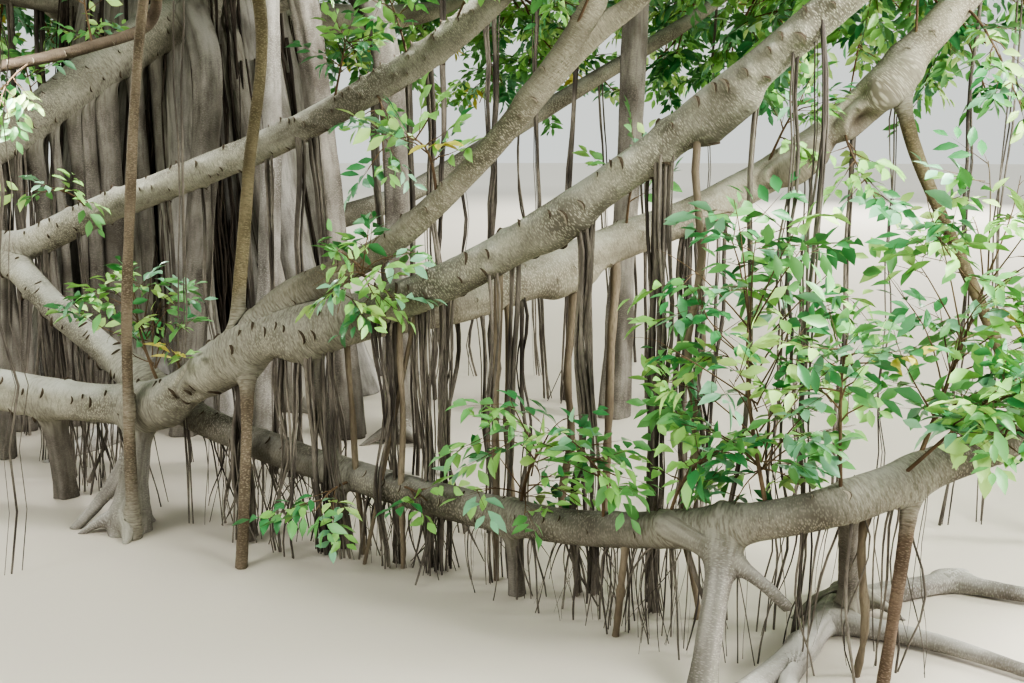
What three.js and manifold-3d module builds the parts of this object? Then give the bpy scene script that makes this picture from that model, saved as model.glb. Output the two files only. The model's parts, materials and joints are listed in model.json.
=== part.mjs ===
// A banyan-type fig tree: a trunk of fused stems and columns, long low boughs that rest on prop roots,
// and a broad crown in masses of leafy twigs. Units are millimetres, +Z is up, and the origin is the
// centre of the flat cut under the trunk. The nearest boughs sweep across the -Y side, towards +X.
import * as THREE from "three";
import { mergeVertices } from "three/addons/utils/BufferGeometryUtils.js";
import Module from "manifold-3d";

const wasm = await Module();
wasm.setup();

// Driving sizes

const CLEARANCE = 0.4; // between two solids that touch
const CUT_SMOOTHING = 0.01; // how far a cut edge may move when slivers are merged
const LEAF_SMOOTHING = 0.6; // the same where leaves are fused to twigs
const LIMB_SIDES = 7;
const PROP_SIDES = 6;
const FOOT_DEPTH = 90; // how far a foot is drawn below the ground before the flat cut
const GROUND_BLOCK = 30000; // size of the block that trims everything below the ground

const TRUNK = {
  coreRadii: [860, 640, 600, 560, 470], // from the ground to the fork
  forkHeight: 2620,
  columns: 14,
  footReachX: 980, // how far from the axis the columns stand
  footReachY: 800,
  topReach: 0.5, // share of the foot's reach that is left at the fork
  columnRadii: [220, 136, 116, 108, 96],
  buttresses: 6,
  buttressReach: 1750,
  buttressRise: 330,
};

const CROWN = {
  centreX: 500,
  ringReach: 4100, // from the crown's axis to the middle of an outer mass
  ringHeight: 3750,
  ringSpace: [1950, 1950, 1500], // half sizes of an outer mass
  skirtHeight: 3400, // the outer masses hang lower behind and to the right
  skirtSpace: [1950, 1950, 1800],
  topReach: 1600,
  topHeight: 5700,
  topSpace: [2250, 2250, 1900],
  boughLift: 2900, // height of a hidden bough's tip
  boughRadii: [135, 110, 80, 55],
};

const LEAF_THICKNESS = 0.028; // share of a leaf's length
const LEAF_WIDTH = 0.5;
const LEAF_ROLL = 1.7; // widest difference in how leaves are turned about their own length, in radians
const SINK = 0.9; // how far past its twig's middle a leaf's root is sunk, as a share of the twig's radius
const GOLDEN_ANGLE = Math.PI * (3 - Math.sqrt(5));

// Materials

const BARK = { color: 0x9a917f, roughness: 0.85, metalness: 0 };
const PALE_BARK = { color: 0xb1a996, roughness: 0.85, metalness: 0 };
const ROOT_BARK = { color: 0x7d7060, roughness: 0.9, metalness: 0 };
const FOLIAGE = { color: 0x5d9a4a, roughness: 0.45, metalness: 0 };

// Solids

function solidOf(geometry) {
  const bare = geometry.clone();
  bare.deleteAttribute("normal");
  bare.deleteAttribute("uv");
  const merged = mergeVertices(bare, 1e-3);
  return new wasm.Manifold(
    new wasm.Mesh({
      numProp: 3,
      vertProperties: new Float32Array(merged.getAttribute("position").array),
      triVerts: new Uint32Array(merged.index.array),
    }),
  );
}

function geometryOf(solid) {
  const mesh = solid.getMesh();
  const geometry = new THREE.BufferGeometry();
  geometry.setAttribute("position", new THREE.BufferAttribute(mesh.vertProperties, 3));
  geometry.setIndex(new THREE.BufferAttribute(mesh.triVerts, 1));
  geometry.computeVertexNormals();
  return geometry;
}

function largestBody(solid) {
  const bodies = solid.decompose();
  return bodies.reduce((best, body) => (body.volume() > best.volume() ? body : best), bodies[0]);
}

// A value that runs evenly through a short list, read at a share t of the way.
function along(values, t) {
  const place = t * (values.length - 1);
  const low = Math.min(Math.floor(place), values.length - 2);
  return THREE.MathUtils.lerp(values[low], values[low + 1], place - low);
}

const vector = ([x, y, z]) => new THREE.Vector3(x, y, z);
const curveThrough = (route) => new THREE.CatmullRomCurve3(route.map(vector), false, "catmullrom", 0.5);

// A limb is a unit cylinder bent along a smooth curve, with a radius that changes on the way.
function limbSolid(limb, swell = 0) {
  const curve = curveThrough(limb.route);
  const frames = curve.computeFrenetFrames(limb.steps, false);
  const geometry = new THREE.CylinderGeometry(1, 1, 1, limb.sides, limb.steps);
  const position = geometry.getAttribute("position");
  const corner = new THREE.Vector3();
  for (let i = 0; i < position.count; i += 1) {
    const share = position.getY(i) + 0.5;
    const step = Math.round(share * limb.steps);
    const radius = along(limb.radii, share) + swell;
    const pastEnd = swell * (step === limb.steps ? 1 : step === 0 ? -1 : 0);
    corner
      .copy(curve.getPointAt(share))
      .addScaledVector(frames.tangents[step], pastEnd)
      .addScaledVector(frames.binormals[step], position.getX(i) * radius)
      .addScaledVector(frames.normals[step], position.getZ(i) * radius);
    position.setXYZ(i, corner.x, corner.y, corner.z);
  }
  return solidOf(geometry);
}

const groundGeometry = new THREE.BoxGeometry(GROUND_BLOCK, GROUND_BLOCK, GROUND_BLOCK);
groundGeometry.translate(0, 0, -GROUND_BLOCK / 2);
const ground = solidOf(groundGeometry);

// The tree as it grows: each new solid is cut clear of the ones that it meets

const tree = new THREE.Group();
const made = [];
const capsules = [];

function boxesMeet(a, b) {
  return a.min.every((low, i) => low <= b.max[i] && b.min[i] <= a.max[i]);
}

function cutClear(solid) {
  let cut = solid.subtract(ground);
  for (const other of made) {
    if (boxesMeet(cut.boundingBox(), other.box)) cut = cut.subtract(other.swollen);
  }
  return largestBody(cut.asOriginal().simplify(CUT_SMOOTHING));
}

function addMesh(name, solid, look) {
  const mesh = new THREE.Mesh(geometryOf(solid), new THREE.MeshStandardMaterial(look));
  mesh.name = name;
  tree.add(mesh);
}

// Straight stretches of a limb, which leaves and twigs keep away from.
function noteCapsules(limb) {
  const curve = curveThrough(limb.route);
  for (let i = 0; i < limb.steps; i += 1) {
    capsules.push({
      start: curve.getPointAt(i / limb.steps),
      end: curve.getPointAt((i + 1) / limb.steps),
      radius: Math.max(along(limb.radii, i / limb.steps), along(limb.radii, (i + 1) / limb.steps)),
    });
  }
}

// Fuses the given limbs into one named solid.
function addLimbs(name, limbs, look) {
  const solid = cutClear(wasm.Manifold.union(limbs.map((limb) => limbSolid(limb))));
  const swollen = wasm.Manifold.union(limbs.map((limb) => limbSolid(limb, CLEARANCE)));
  made.push({ swollen, box: swollen.boundingBox() });
  limbs.forEach(noteCapsules);
  addMesh(name, solid, look);
}

const bough = (route, radii, steps = 5) => ({ route, radii, steps, sides: LIMB_SIDES });
const prop = (route, radii, steps = 3) => ({ route, radii, steps, sides: PROP_SIDES });
const foot = (x, y) => [x, y, -FOOT_DEPTH];
const footed = (points, last) => [...points, foot(...last)];

function onCircle(centreX, azimuth, reach, height) {
  const angle = THREE.MathUtils.degToRad(azimuth);
  return [centreX + reach * Math.cos(angle), reach * Math.sin(angle), height];
}

// Trunk: a core, columns that have fused to it, and low buttress roots

function trunkColumn(i) {
  const angle = (i / TRUNK.columns) * 2 * Math.PI;
  const spread = 0.9 + 0.1 * Math.cos(i * 2.4);
  const at = (share, height, twist) => [
    TRUNK.footReachX * spread * share * Math.cos(angle + twist),
    TRUNK.footReachY * spread * share * Math.sin(angle + twist),
    height,
  ];
  const height = TRUNK.forkHeight - 120 * (i % 3);
  const sway = 0.12 * Math.sin(i * 1.7);
  const route = [
    at(1, -FOOT_DEPTH, 0),
    at(0.8, 0.3 * height, sway),
    at(0.66, 0.65 * height, sway * 0.5),
    at(TRUNK.topReach, height, 0),
  ];
  return { route, radii: TRUNK.columnRadii, steps: 4, sides: PROP_SIDES };
}

function buttress(i) {
  const azimuth = (i + 0.4) * (360 / TRUNK.buttresses);
  const reach = TRUNK.buttressReach * (0.85 + 0.15 * Math.sin(i * 2.1));
  const route = [
    onCircle(0, azimuth, 0.3 * reach, TRUNK.buttressRise),
    onCircle(0, azimuth + 4, 0.65 * reach, 0.3 * TRUNK.buttressRise),
    onCircle(0, azimuth - 3, reach, -0.1 * TRUNK.buttressRise),
  ];
  return { route, radii: [150, 85, 45], steps: 2, sides: 5 };
}

const core = {
  route: [[0, 0, -FOOT_DEPTH], [20, 10, 0.5 * TRUNK.forkHeight], [40, 20, TRUNK.forkHeight]],
  radii: TRUNK.coreRadii,
  steps: 4,
  sides: 10,
};
const columns = Array.from({ length: TRUNK.columns }, (_, i) => trunkColumn(i));
const buttresses = Array.from({ length: TRUNK.buttresses }, (_, i) => buttress(i));
addLimbs("trunk", [core, ...columns, ...buttresses], BARK);

// Boughs of the near side, which the eye sees whole. Their routes are set by hand.

const NEAR_BOUGHS = {
  left_bough: bough(
    [[250, -300, 2380], [-190, -730, 1990], [-650, -1120, 1550], [-1240, -1440, 1080], [-1700, -1850, 490]],
    [150, 108, 90, 90, 90],
  ),
  long_bough: bough(
    [
      [-1640, -1810, 540], [-1080, -2110, 500], [-460, -2300, 520], [490, -2580, 490], [1040, -2910, 790],
      [1720, -3180, 1030], [2340, -3470, 1420], [3000, -3810, 1990], [3550, -4050, 2560],
    ],
    [88, 88, 86, 80, 76, 64, 58, 55, 46],
    10,
  ),
  low_bough_root: bough(
    [[-960, -1290, 1270], [-840, -1420, 1190], [-450, -1610, 1000], [-70, -1950, 780], [450, -2440, 560]],
    [76, 66, 62, 62, 63],
    5,
  ),
  low_bough: bough(
    [
      [430, -2400, 575], [710, -2540, 420], [1170, -2800, 320], [1780, -3240, 280], [2280, -3650, 320],
      [2800, -4000, 480], [3200, -3950, 605], [3600, -3860, 770], [4450, -3450, 1250],
    ],
    [63, 60, 60, 62, 57, 57, 56, 52, 42],
    9,
  ),
  twin_bough: bough(
    [
      [1430, -3040, 890], [1880, -2730, 940], [2360, -2520, 1110], [2840, -2480, 1300], [3260, -2520, 1580],
      [3730, -2640, 2100], [4200, -2600, 2800],
    ],
    [70, 72, 74, 68, 64, 60, 46],
    7,
  ),
  rising_bough: bough(
    [[1000, -2890, 770], [1160, -2930, 960], [1610, -3090, 1210], [2110, -3210, 1730], [2470, -3300, 2370]],
    [62, 48, 41, 38, 30],
  ),
  upper_bough: bough(
    [
      [-560, -1560, 1040], [-300, -1640, 1070], [80, -1760, 1225], [1050, -1910, 1600], [1860, -2030, 2090],
      [2300, -2050, 2750], [2200, -1950, 3900],
    ],
    [74, 70, 66, 65, 63, 58, 46],
    8,
  ),
  knee_bough: bough(
    [[-1230, -1430, 1060], [-1750, -1850, 1600], [-2150, -2250, 2300], [-2350, -2450, 2800]],
    [80, 72, 62, 50],
    5,
  ),
  thin_left_bough: bough(
    [[-1700, -1800, 1560], [-1100, -1800, 1750], [30, -1750, 1960], [390, -1760, 2180], [450, -2850, 2760]],
    [29, 27, 26, 24, 18],
    7,
  ),
};
for (const [name, limb] of Object.entries(NEAR_BOUGHS)) addLimbs(name, [limb], BARK);

// Boughs that spread from the trunk out of sight, and the stems that carry the top of the crown

function spreadingBough(azimuth, startHeight) {
  const tip = onCircle(CROWN.centreX, azimuth, 0.78 * CROWN.ringReach, CROWN.boughLift);
  const start = onCircle(0, azimuth, 250, startHeight);
  const between = (share, lift) => {
    const point = start.map((value, i) => THREE.MathUtils.lerp(value, tip[i], share));
    return [point[0], point[1], point[2] + lift];
  };
  return bough([start, between(0.35, -60), between(0.7, -140), tip], CROWN.boughRadii, 5);
}

function risingStem(azimuth) {
  const route = [
    onCircle(60, azimuth, 180, TRUNK.forkHeight - 350),
    onCircle(200, azimuth, 520, TRUNK.forkHeight + 600),
    onCircle(CROWN.centreX, azimuth, 0.62 * CROWN.topReach, CROWN.topHeight - 1300),
  ];
  return bough(route, [190, 130, 80], 4);
}

const SPREADING = {
  back_right_bough: [66, 2250],
  back_bough: [102, 2350],
  back_left_bough: [138, 2200],
  left_high_bough: [180, 2350],
};
const RISING = { leader_back: 70, leader_left: 190 };

const FAR_BOUGHS = {
  front_bough: bough(
    [[150, -350, 2420], [700, -1150, 2600], [800, -2300, 2830], [300, -3250, 3020]],
    [120, 100, 84, 60],
  ),
  right_bough: bough(
    [[350, -80, 2350], [1400, -280, 2620], [2720, -350, 2700], [3750, -250, 2950]],
    [120, 100, 84, 60],
  ),
  far_right_bough: bough(
    [[500, 60, 980], [1320, 200, 1230], [2130, 560, 1720], [3180, 1050, 2360], [3650, 1400, 2700]],
    [84, 66, 56, 50, 44],
  ),
};
for (const [name, limb] of Object.entries(FAR_BOUGHS)) addLimbs(name, [limb], BARK);
for (const [name, rule] of Object.entries(SPREADING)) addLimbs(name, [spreadingBough(...rule)], BARK);
for (const [name, azimuth] of Object.entries(RISING)) addLimbs(name, [risingStem(azimuth)], BARK);

// Prop roots and pillars, from the bough that they grew from down to the ground

// A pillar that stands under a hidden bough, at a share of its length.
function pillarUnder(limb, share) {
  const top = curveThrough(limb.route).getPointAt(share);
  const points = [[top.x, top.y, top.z], [top.x + 20, top.y + 50, 0.45 * top.z]];
  return prop(footed(points, [top.x + 40, top.y + 110]), [70, 62, 64, 92], 5);
}

const PROPS = {
  prop_front: [
    prop(footed([[490, -2590, 460], [480, -2680, 200]], [465, -2740]), [54, 50, 54, 72, 98], 5),
    prop([[450, -2690, 260], [340, -2700, 110], [210, -2690, -30]], [30, 22, 17], 3),
  ],
  prop_left_near: [prop(footed([[60, -2420, 450], [50, -2330, 200]], [30, -2230]), [52, 44, 46, 60])],
  prop_left_far: [
    prop(
      footed([[-470, -1600, 960], [-490, -1610, 500]], [-510, -1630]),
      [46, 38, 38, 54],
    ),
  ],
  prop_fork: [prop(footed([[1010, -2900, 760], [1020, -3030, 400]], [1010, -3160]), [32, 25, 23, 28])],
  prop_slant: [prop(footed([[1260, -3020, 830], [1320, -2970, 400]], [1370, -2900]), [30, 27, 27, 36])],
  prop_light: [prop(footed([[2630, -3900, 420], [2570, -4050, 220]], [2500, -4180]), [46, 38, 35, 48])],
  prop_lean: [prop(footed([[2960, -3990, 520], [3020, -3800, 300]], [3110, -3540]), [36, 29, 29, 42])],
  prop_brown: [prop(footed([[3150, -3960, 585], [3090, -4050, 300]], [3030, -4110]), [24, 19, 18, 20])],
  prop_short: [prop(footed([[2000, -3420, 290], [2010, -3400, 120]], [2020, -3380]), [32, 25, 32], 3)],
  knee_prop: [
    prop(
      footed([[-1690, -1840, 500], [-1730, -1890, 240]], [-1770, -1930]),
      [86, 86, 96, 140],
      5,
    ),
  ],
  pillar_left: [
    prop(
      footed([[230, -560, 2260], [380, -880, 1900], [330, -940, 1200]], [230, -1150]),
      [84, 70, 70, 92],
      5,
    ),
  ],
  pillar_bright: [
    prop(
      footed([[770, -1180, 2600], [760, -1200, 1400]], [690, -1290]),
      [60, 54, 54, 76],
      5,
    ),
  ],
  pillar_slant: [
    prop(
      footed([[690, -1090, 2590], [920, -1080, 2300], [1040, -1160, 1400]], [1140, -1190]),
      [76, 70, 70, 96],
      6,
    ),
  ],
  pillar_right: [
    prop(
      footed([[600, -160, 2450], [1150, -650, 2380], [1370, -960, 1700]], [1420, -1290]),
      [76, 72, 72, 94],
      7,
    ),
  ],
  pillar_far: [prop(footed([[2720, -350, 2690], [2660, -520, 1300]], [2580, -730]), [74, 66, 66, 95], 5)],
  pillar_back: [pillarUnder(spreadingBough(...SPREADING.back_bough), 0.6)],
  pillar_left_high: [pillarUnder(spreadingBough(...SPREADING.left_high_bough), 0.5)],
  knot_root: [
    prop(
      footed([[3500, -2590, 1850], [3560, -2640, 1500], [3900, -2780, 700]], [4180, -2900]),
      [30, 23, 23, 30],
      6,
    ),
  ],
  slim_stem_left: [
    prop(
      footed([[780, -2340, 2800], [570, -2480, 2150], [520, -2720, 1100], [500, -2760, 450]], [520, -2830]),
      [26, 24, 24, 26],
      8,
    ),
  ],
  slim_stem_mid: [
    prop(
      [[760, -2560, 2870], [1040, -2640, 2080], [1010, -2790, 1400], [965, -2890, 830]],
      [30, 28, 27, 26],
      7,
    ),
  ],
  ground_runner: [
    prop(
      [[3560, -3330, 30], [3087, -3560, 26], [2860, -3900, 20], [2640, -4150, 16]],
      [30, 40, 40, 34],
      6,
    ),
  ],
};
const PALE = ["prop_light", "prop_front", "pillar_bright", "ground_runner"];
for (const [name, limbs] of Object.entries(PROPS)) {
  addLimbs(name, limbs, PALE.includes(name) ? PALE_BARK : ROOT_BARK);
}

// Foliage: each mass grows from one stem inside its own egg-shaped space

function crownSpace(azimuth, ring) {
  const rings = {
    outer: [CROWN.ringReach, CROWN.ringHeight, CROWN.ringSpace],
    skirt: [CROWN.ringReach, CROWN.skirtHeight, CROWN.skirtSpace],
    top: [CROWN.topReach, CROWN.topHeight, CROWN.topSpace],
  };
  const [reach, height, half] = rings[ring];
  return { centre: onCircle(CROWN.centreX, azimuth, reach, height), half };
}

const tipOf = (limb) => limb.route[limb.route.length - 1];

const CROWN_LEAF = 760;
const SHOOT_LEAF = 150;
const crownMass = (limb, azimuth, ring) => ({
  start: tipOf(limb), ...crownSpace(azimuth, ring), leaf: CROWN_LEAF, stem: 42, branches: 7, twigEvery: 5,
});
const shoot = (start, centre, half) => ({
  start, centre, half, leaf: SHOOT_LEAF, stem: 11, branches: 7, twigEvery: 5,
});

const MASSES = {
  foliage_twin: crownMass(NEAR_BOUGHS.twin_bough, -18, "outer"),
  foliage_long: crownMass(NEAR_BOUGHS.long_bough, -46, "outer"),
  foliage_rising: crownMass(NEAR_BOUGHS.rising_bough, -74, "outer"),
  foliage_front: crownMass(FAR_BOUGHS.front_bough, -106, "outer"),
  foliage_knee: crownMass(NEAR_BOUGHS.knee_bough, -140, "outer"),
  foliage_left: crownMass(spreadingBough(...SPREADING.left_high_bough), 180, "outer"),
  foliage_back_left: crownMass(spreadingBough(...SPREADING.back_left_bough), 138, "skirt"),
  foliage_back: crownMass(spreadingBough(...SPREADING.back_bough), 102, "skirt"),
  foliage_back_right: crownMass(spreadingBough(...SPREADING.back_right_bough), 68, "skirt"),
  foliage_far_right: crownMass(FAR_BOUGHS.far_right_bough, 39, "skirt"),
  foliage_right: crownMass(FAR_BOUGHS.right_bough, 11, "skirt"),
  foliage_top_front: crownMass(NEAR_BOUGHS.upper_bough, -50, "top"),
  foliage_top_back: crownMass(risingStem(RISING.leader_back), 70, "top"),
  foliage_top_left: crownMass(risingStem(RISING.leader_left), 190, "top"),
  foliage_low_right: {
    start: tipOf(NEAR_BOUGHS.low_bough), centre: [4950, -3300, 1600], half: [820, 780, 640],
    leaf: 340, stem: 32, branches: 6, twigEvery: 5,
  },
  shoots_left: shoot([2030, -3430, 330], [2080, -3560, 520], [340, 280, 330]),
  shoots_main: shoot([2730, -3955, 490], [2690, -3880, 930], [400, 330, 570]),
  shoots_right: shoot([3160, -3960, 640], [3340, -3860, 1080], [340, 320, 530]),
  bough_spray: shoot([1450, -3060, 1110], [1500, -3260, 1090], [300, 230, 280]),
  left_spray: shoot([600, -2650, 560], [480, -2520, 880], [360, 250, 240]),
};

// A small seeded stream of numbers from 0 to 1, the same on every run.
function seededNumbers(seed) {
  let state = seed;
  return () => {
    state = (state * 16807) % 2147483647;
    return state / 2147483647;
  };
}

// How far out a point lies in a mass's space: 1 is on its edge.
function depthIn(mass, point) {
  return Math.hypot(...["x", "y", "z"].map((axis, i) => (point[axis] - mass.centre[i]) / mass.half[i]));
}

function keepsToSpace(mass, point, edge) {
  const own = depthIn(mass, point);
  if (own > edge || point.z < 20) return false;
  return Object.values(MASSES).every((other) => other === mass || own < depthIn(other, point) - 0.035);
}

const segment = new THREE.Line3();
const nearest = new THREE.Vector3();
function clearOfLimbs(point, reach) {
  return capsules.every(({ start, end, radius }) => {
    segment.set(start, end).closestPointToPoint(point, true, nearest);
    return nearest.distanceTo(point) > radius + reach;
  });
}

// Even directions round a ball, from its top to its bottom.
function evenDirection(i, count, turn) {
  const z = 1 - (2 * (i + 0.5)) / count;
  const angle = i * GOLDEN_ANGLE + turn;
  const level = Math.sqrt(1 - z * z);
  return new THREE.Vector3(level * Math.cos(angle), level * Math.sin(angle), z);
}

function spacePoint(mass, direction, share) {
  return vector(mass.centre.map((value, i) => value + direction.getComponent(i) * mass.half[i] * share));
}

// The share of the way to the edge where a twig ends, so that the leaf at its tip still fits.
function twigReach(mass, direction) {
  const reach = Math.hypot(...mass.half.map((half, i) => half * direction.getComponent(i)));
  return Math.max(0.35, 0.96 - (0.92 * mass.leaf) / reach);
}

function twigSolid(start, end, startRadius, endRadius, sides) {
  const run = end.clone().sub(start);
  const geometry = new THREE.CylinderGeometry(endRadius, startRadius, run.length(), sides, 1);
  geometry.translate(0, run.length() / 2, 0);
  const turn = new THREE.Quaternion().setFromUnitVectors(new THREE.Vector3(0, 1, 0), run.normalize());
  geometry.applyQuaternion(turn);
  geometry.translate(start.x, start.y, start.z);
  return solidOf(geometry);
}

// A leaf is a flat pointed lozenge with its root sunk in the twig.
function leafPlacement(root, direction, length, tilt, twigRadius) {
  const ahead = direction.clone().normalize();
  const side = new THREE.Vector3(-ahead.y, ahead.x, 0).normalize();
  const face = new THREE.Vector3().crossVectors(ahead, side);
  side.applyAxisAngle(ahead, tilt);
  face.applyAxisAngle(ahead, tilt);
  const width = length * LEAF_WIDTH;
  const start = root.clone().addScaledVector(ahead, -SINK * twigRadius);
  const middle = start.clone().addScaledVector(ahead, length / 2);
  const tip = start.clone().addScaledVector(ahead, length);
  const edges = [-0.5, 0.5].map((half) => middle.clone().addScaledVector(side, half * width));
  return { ahead, side, face, middle, length, width, tests: [middle, tip, ...edges] };
}

function leafSolid({ ahead, side, face, middle, length, width }) {
  const geometry = new THREE.OctahedronGeometry(1, 0);
  geometry.scale(length / 2, width / 2, (LEAF_THICKNESS * length) / 2);
  geometry.applyMatrix4(new THREE.Matrix4().makeBasis(ahead, side, face).setPosition(middle));
  return solidOf(geometry);
}

function growMass(name, mass, seed) {
  const chance = seededNumbers(seed);
  const parts = [];
  const start = vector(mass.start);
  const heart = vector(mass.centre);
  const axis = heart.clone().sub(start);
  const stemEnd = start.clone().addScaledVector(axis, 1.25);
  parts.push(twigSolid(start, stemEnd, mass.stem, mass.stem * 0.45, 4));

  const addLeaf = (root, direction, length, twigRadius) => {
    const leaf = leafPlacement(root, direction, length, LEAF_ROLL * (chance() - 0.5), twigRadius);
    const fits = leaf.tests.every((p) => keepsToSpace(mass, p, 1.0) && clearOfLimbs(p, 0.02 * mass.leaf + 8));
    if (fits) parts.push(leafSolid(leaf));
  };
  const twigFits = (from, to, radius) =>
    [0.35, 0.7, 1].every((share) => {
      const point = from.clone().lerp(to, share);
      return keepsToSpace(mass, point, 0.97) && clearOfLimbs(point, radius + 4);
    });
  // A twig with one leaf at its tip and others set either side of it.
  const addTwig = (from, to, radius, leafShares) => {
    if (!twigFits(from, to, radius)) return false;
    parts.push(twigSolid(from, to, radius, radius * 0.55, 3));
    const run = to.clone().sub(from).normalize();
    const flat = new THREE.Vector3(-run.y, run.x, 0).normalize();
    leafShares.forEach((share, k) => {
      const swing = k % 2 === 0 ? 0.85 : -0.85;
      const direction = run.clone().addScaledVector(flat, swing);
      direction.z -= 0.15 + 0.2 * chance();
      addLeaf(from.clone().lerp(to, share), direction, mass.leaf * (0.85 + 0.25 * chance()), radius * 0.7);
    });
    const ahead = run.clone();
    ahead.z -= 0.1;
    addLeaf(to, ahead, mass.leaf * 0.9, radius * 0.8);
    return true;
  };

  addLeaf(stemEnd, axis, mass.leaf * 0.9, mass.stem * 0.4);
  for (let i = 0; i < mass.branches; i += 1) {
    const direction = evenDirection(i, mass.branches, seed);
    const end = spacePoint(mass, direction, twigReach(mass, direction));
    const reachAlong = end.clone().sub(start).dot(axis) / axis.lengthSq();
    const base = start.clone().addScaledVector(axis, THREE.MathUtils.clamp(reachAlong - 0.45, 0.3, 1.15));
    if (!addTwig(base, end, mass.stem * 0.42, [0.55, 0.8])) continue;
    if (i % mass.twigEvery === 0) {
      const side = evenDirection(i, mass.branches, seed + 0.9);
      side.z += 0.5 * (chance() - 0.5);
      const twigEnd = spacePoint(mass, side.normalize(), twigReach(mass, side));
      addTwig(base.clone().lerp(end, 0.5), twigEnd, mass.stem * 0.26, [0.62]);
    }
  }
  const fused = wasm.Manifold.union(parts).asOriginal().simplify(LEAF_SMOOTHING);
  const solid = cutClear(fused);
  addMesh(name, solid, FOLIAGE);
}

Object.entries(MASSES).forEach(([name, mass], i) => growMass(name, mass, 11 + 7 * i));

export default tree;
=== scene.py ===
# %% [markdown]
# # A banyan fig on its prop roots
#
# A banyan fig spreads by letting thin roots down from its boughs. Those that reach the ground thicken
# into props and pillars, and the trunk itself is many such stems that have fused. This lesson grows one
# limb by limb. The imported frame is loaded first, because every limb, root and mass of leaves here
# replaces a plain solid of that frame and has to stay in its place.

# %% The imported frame
import contextlib
import json
import math

import bmesh
import bpy
import numpy as np
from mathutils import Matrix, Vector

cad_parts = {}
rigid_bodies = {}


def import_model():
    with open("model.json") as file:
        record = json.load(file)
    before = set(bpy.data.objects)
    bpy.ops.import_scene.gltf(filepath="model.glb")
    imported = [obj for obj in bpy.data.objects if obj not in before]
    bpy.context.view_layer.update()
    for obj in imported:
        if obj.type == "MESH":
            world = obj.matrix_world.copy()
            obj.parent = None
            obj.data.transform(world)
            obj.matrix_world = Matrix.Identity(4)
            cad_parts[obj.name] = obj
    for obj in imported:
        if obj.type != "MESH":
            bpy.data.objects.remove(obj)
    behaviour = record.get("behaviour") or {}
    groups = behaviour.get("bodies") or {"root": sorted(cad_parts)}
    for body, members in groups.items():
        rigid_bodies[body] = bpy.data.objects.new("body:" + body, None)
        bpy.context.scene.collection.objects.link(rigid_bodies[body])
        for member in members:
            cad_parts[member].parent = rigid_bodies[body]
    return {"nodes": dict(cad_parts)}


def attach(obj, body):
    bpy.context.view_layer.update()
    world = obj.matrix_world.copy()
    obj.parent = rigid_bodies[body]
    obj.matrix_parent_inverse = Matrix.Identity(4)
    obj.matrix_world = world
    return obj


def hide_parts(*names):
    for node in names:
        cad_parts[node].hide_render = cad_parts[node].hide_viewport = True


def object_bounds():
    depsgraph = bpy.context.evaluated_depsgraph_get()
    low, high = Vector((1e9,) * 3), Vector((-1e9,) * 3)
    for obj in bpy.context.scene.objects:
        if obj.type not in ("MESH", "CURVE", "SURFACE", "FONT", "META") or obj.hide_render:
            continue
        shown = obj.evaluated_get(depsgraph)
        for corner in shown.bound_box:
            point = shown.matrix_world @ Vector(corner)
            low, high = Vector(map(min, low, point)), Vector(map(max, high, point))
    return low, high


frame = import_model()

scene = bpy.context.scene
cad_low, cad_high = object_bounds()
print("frame:", len(frame["nodes"]), "nodes,", [round(b - a, 2) for a, b in zip(cad_low, cad_high)], "m")

# %% [markdown]
# The camera stands where a person would, at eye height under the edge of the crown, and looks a little
# down along the boughs. A 40 mm lens on a full frame gives the width of view that such a close look
# has. A wider lens from nearer would take in as much, but it would stretch the boughs at the edges.

# %% Camera
EYE = (2.0, -7.1, 1.5)
LOOK_DOWN = math.radians(9.5)
LENS = 40  # millimetres, on a frame 36 mm wide


def in_scene(name, data):
    """A new object of the scene that shows a mesh, or is a lamp or a camera."""
    thing = bpy.data.objects.new(name, data)
    scene.collection.objects.link(thing)
    return thing


camera = in_scene("camera", bpy.data.cameras.new("camera"))
camera.data.lens = LENS
camera.data.sensor_width = 36
camera.location = EYE
camera.rotation_euler = (math.radians(90) - LOOK_DOWN, 0, 0)
bpy.context.scene.camera = camera
print("camera at", EYE)

# %% [markdown]
# A limb is a smooth curve through a few hand-set points. Catmull-Rom curves pass through every point,
# so a knot stays where it was put. The curve is read at even steps, because the bark's pattern and the
# spacing of the mesh both count in metres along the limb. Blender's own Bezier curves would do as well,
# but each point would need two handles.

# %% Smooth curves at even steps
SAMPLE = 0.012  # metres between two samples of a centre line


def unit(rows):
    return rows / np.maximum(np.linalg.norm(rows, axis=-1, keepdims=True), 1e-9)


def between(at, known, rows):
    """Rows of three numbers, read between the places where they are known."""
    return np.stack([np.interp(at, known, rows[:, i]) for i in range(3)], axis=-1)


def even_samples(route):
    """Even samples of the smooth curve through the route's points, and how far along each lies."""
    points = np.array(route, dtype=float)
    padded = np.vstack([2 * points[0] - points[1], points, 2 * points[-1] - points[-2]])
    t = np.linspace(0, 1, 60, endpoint=False)[:, None]
    spans = []
    for before, here, there, after in zip(padded, padded[1:], padded[2:], padded[3:]):
        leave = 0.5 * (there - before)
        arrive = 0.5 * (after - here)
        spans.append(
            (2 * t**3 - 3 * t**2 + 1) * here
            + (t**3 - 2 * t**2 + t) * leave
            + (3 * t**2 - 2 * t**3) * there
            + (t**3 - t**2) * arrive
        )
    fine = np.vstack([*spans, points[-1:]])
    run = np.concatenate([[0], np.cumsum(np.linalg.norm(np.diff(fine, axis=0), axis=1))])
    along = np.linspace(0, run[-1], max(3, round(run[-1] / SAMPLE) + 1))
    return between(along, run, fine), along


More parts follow.
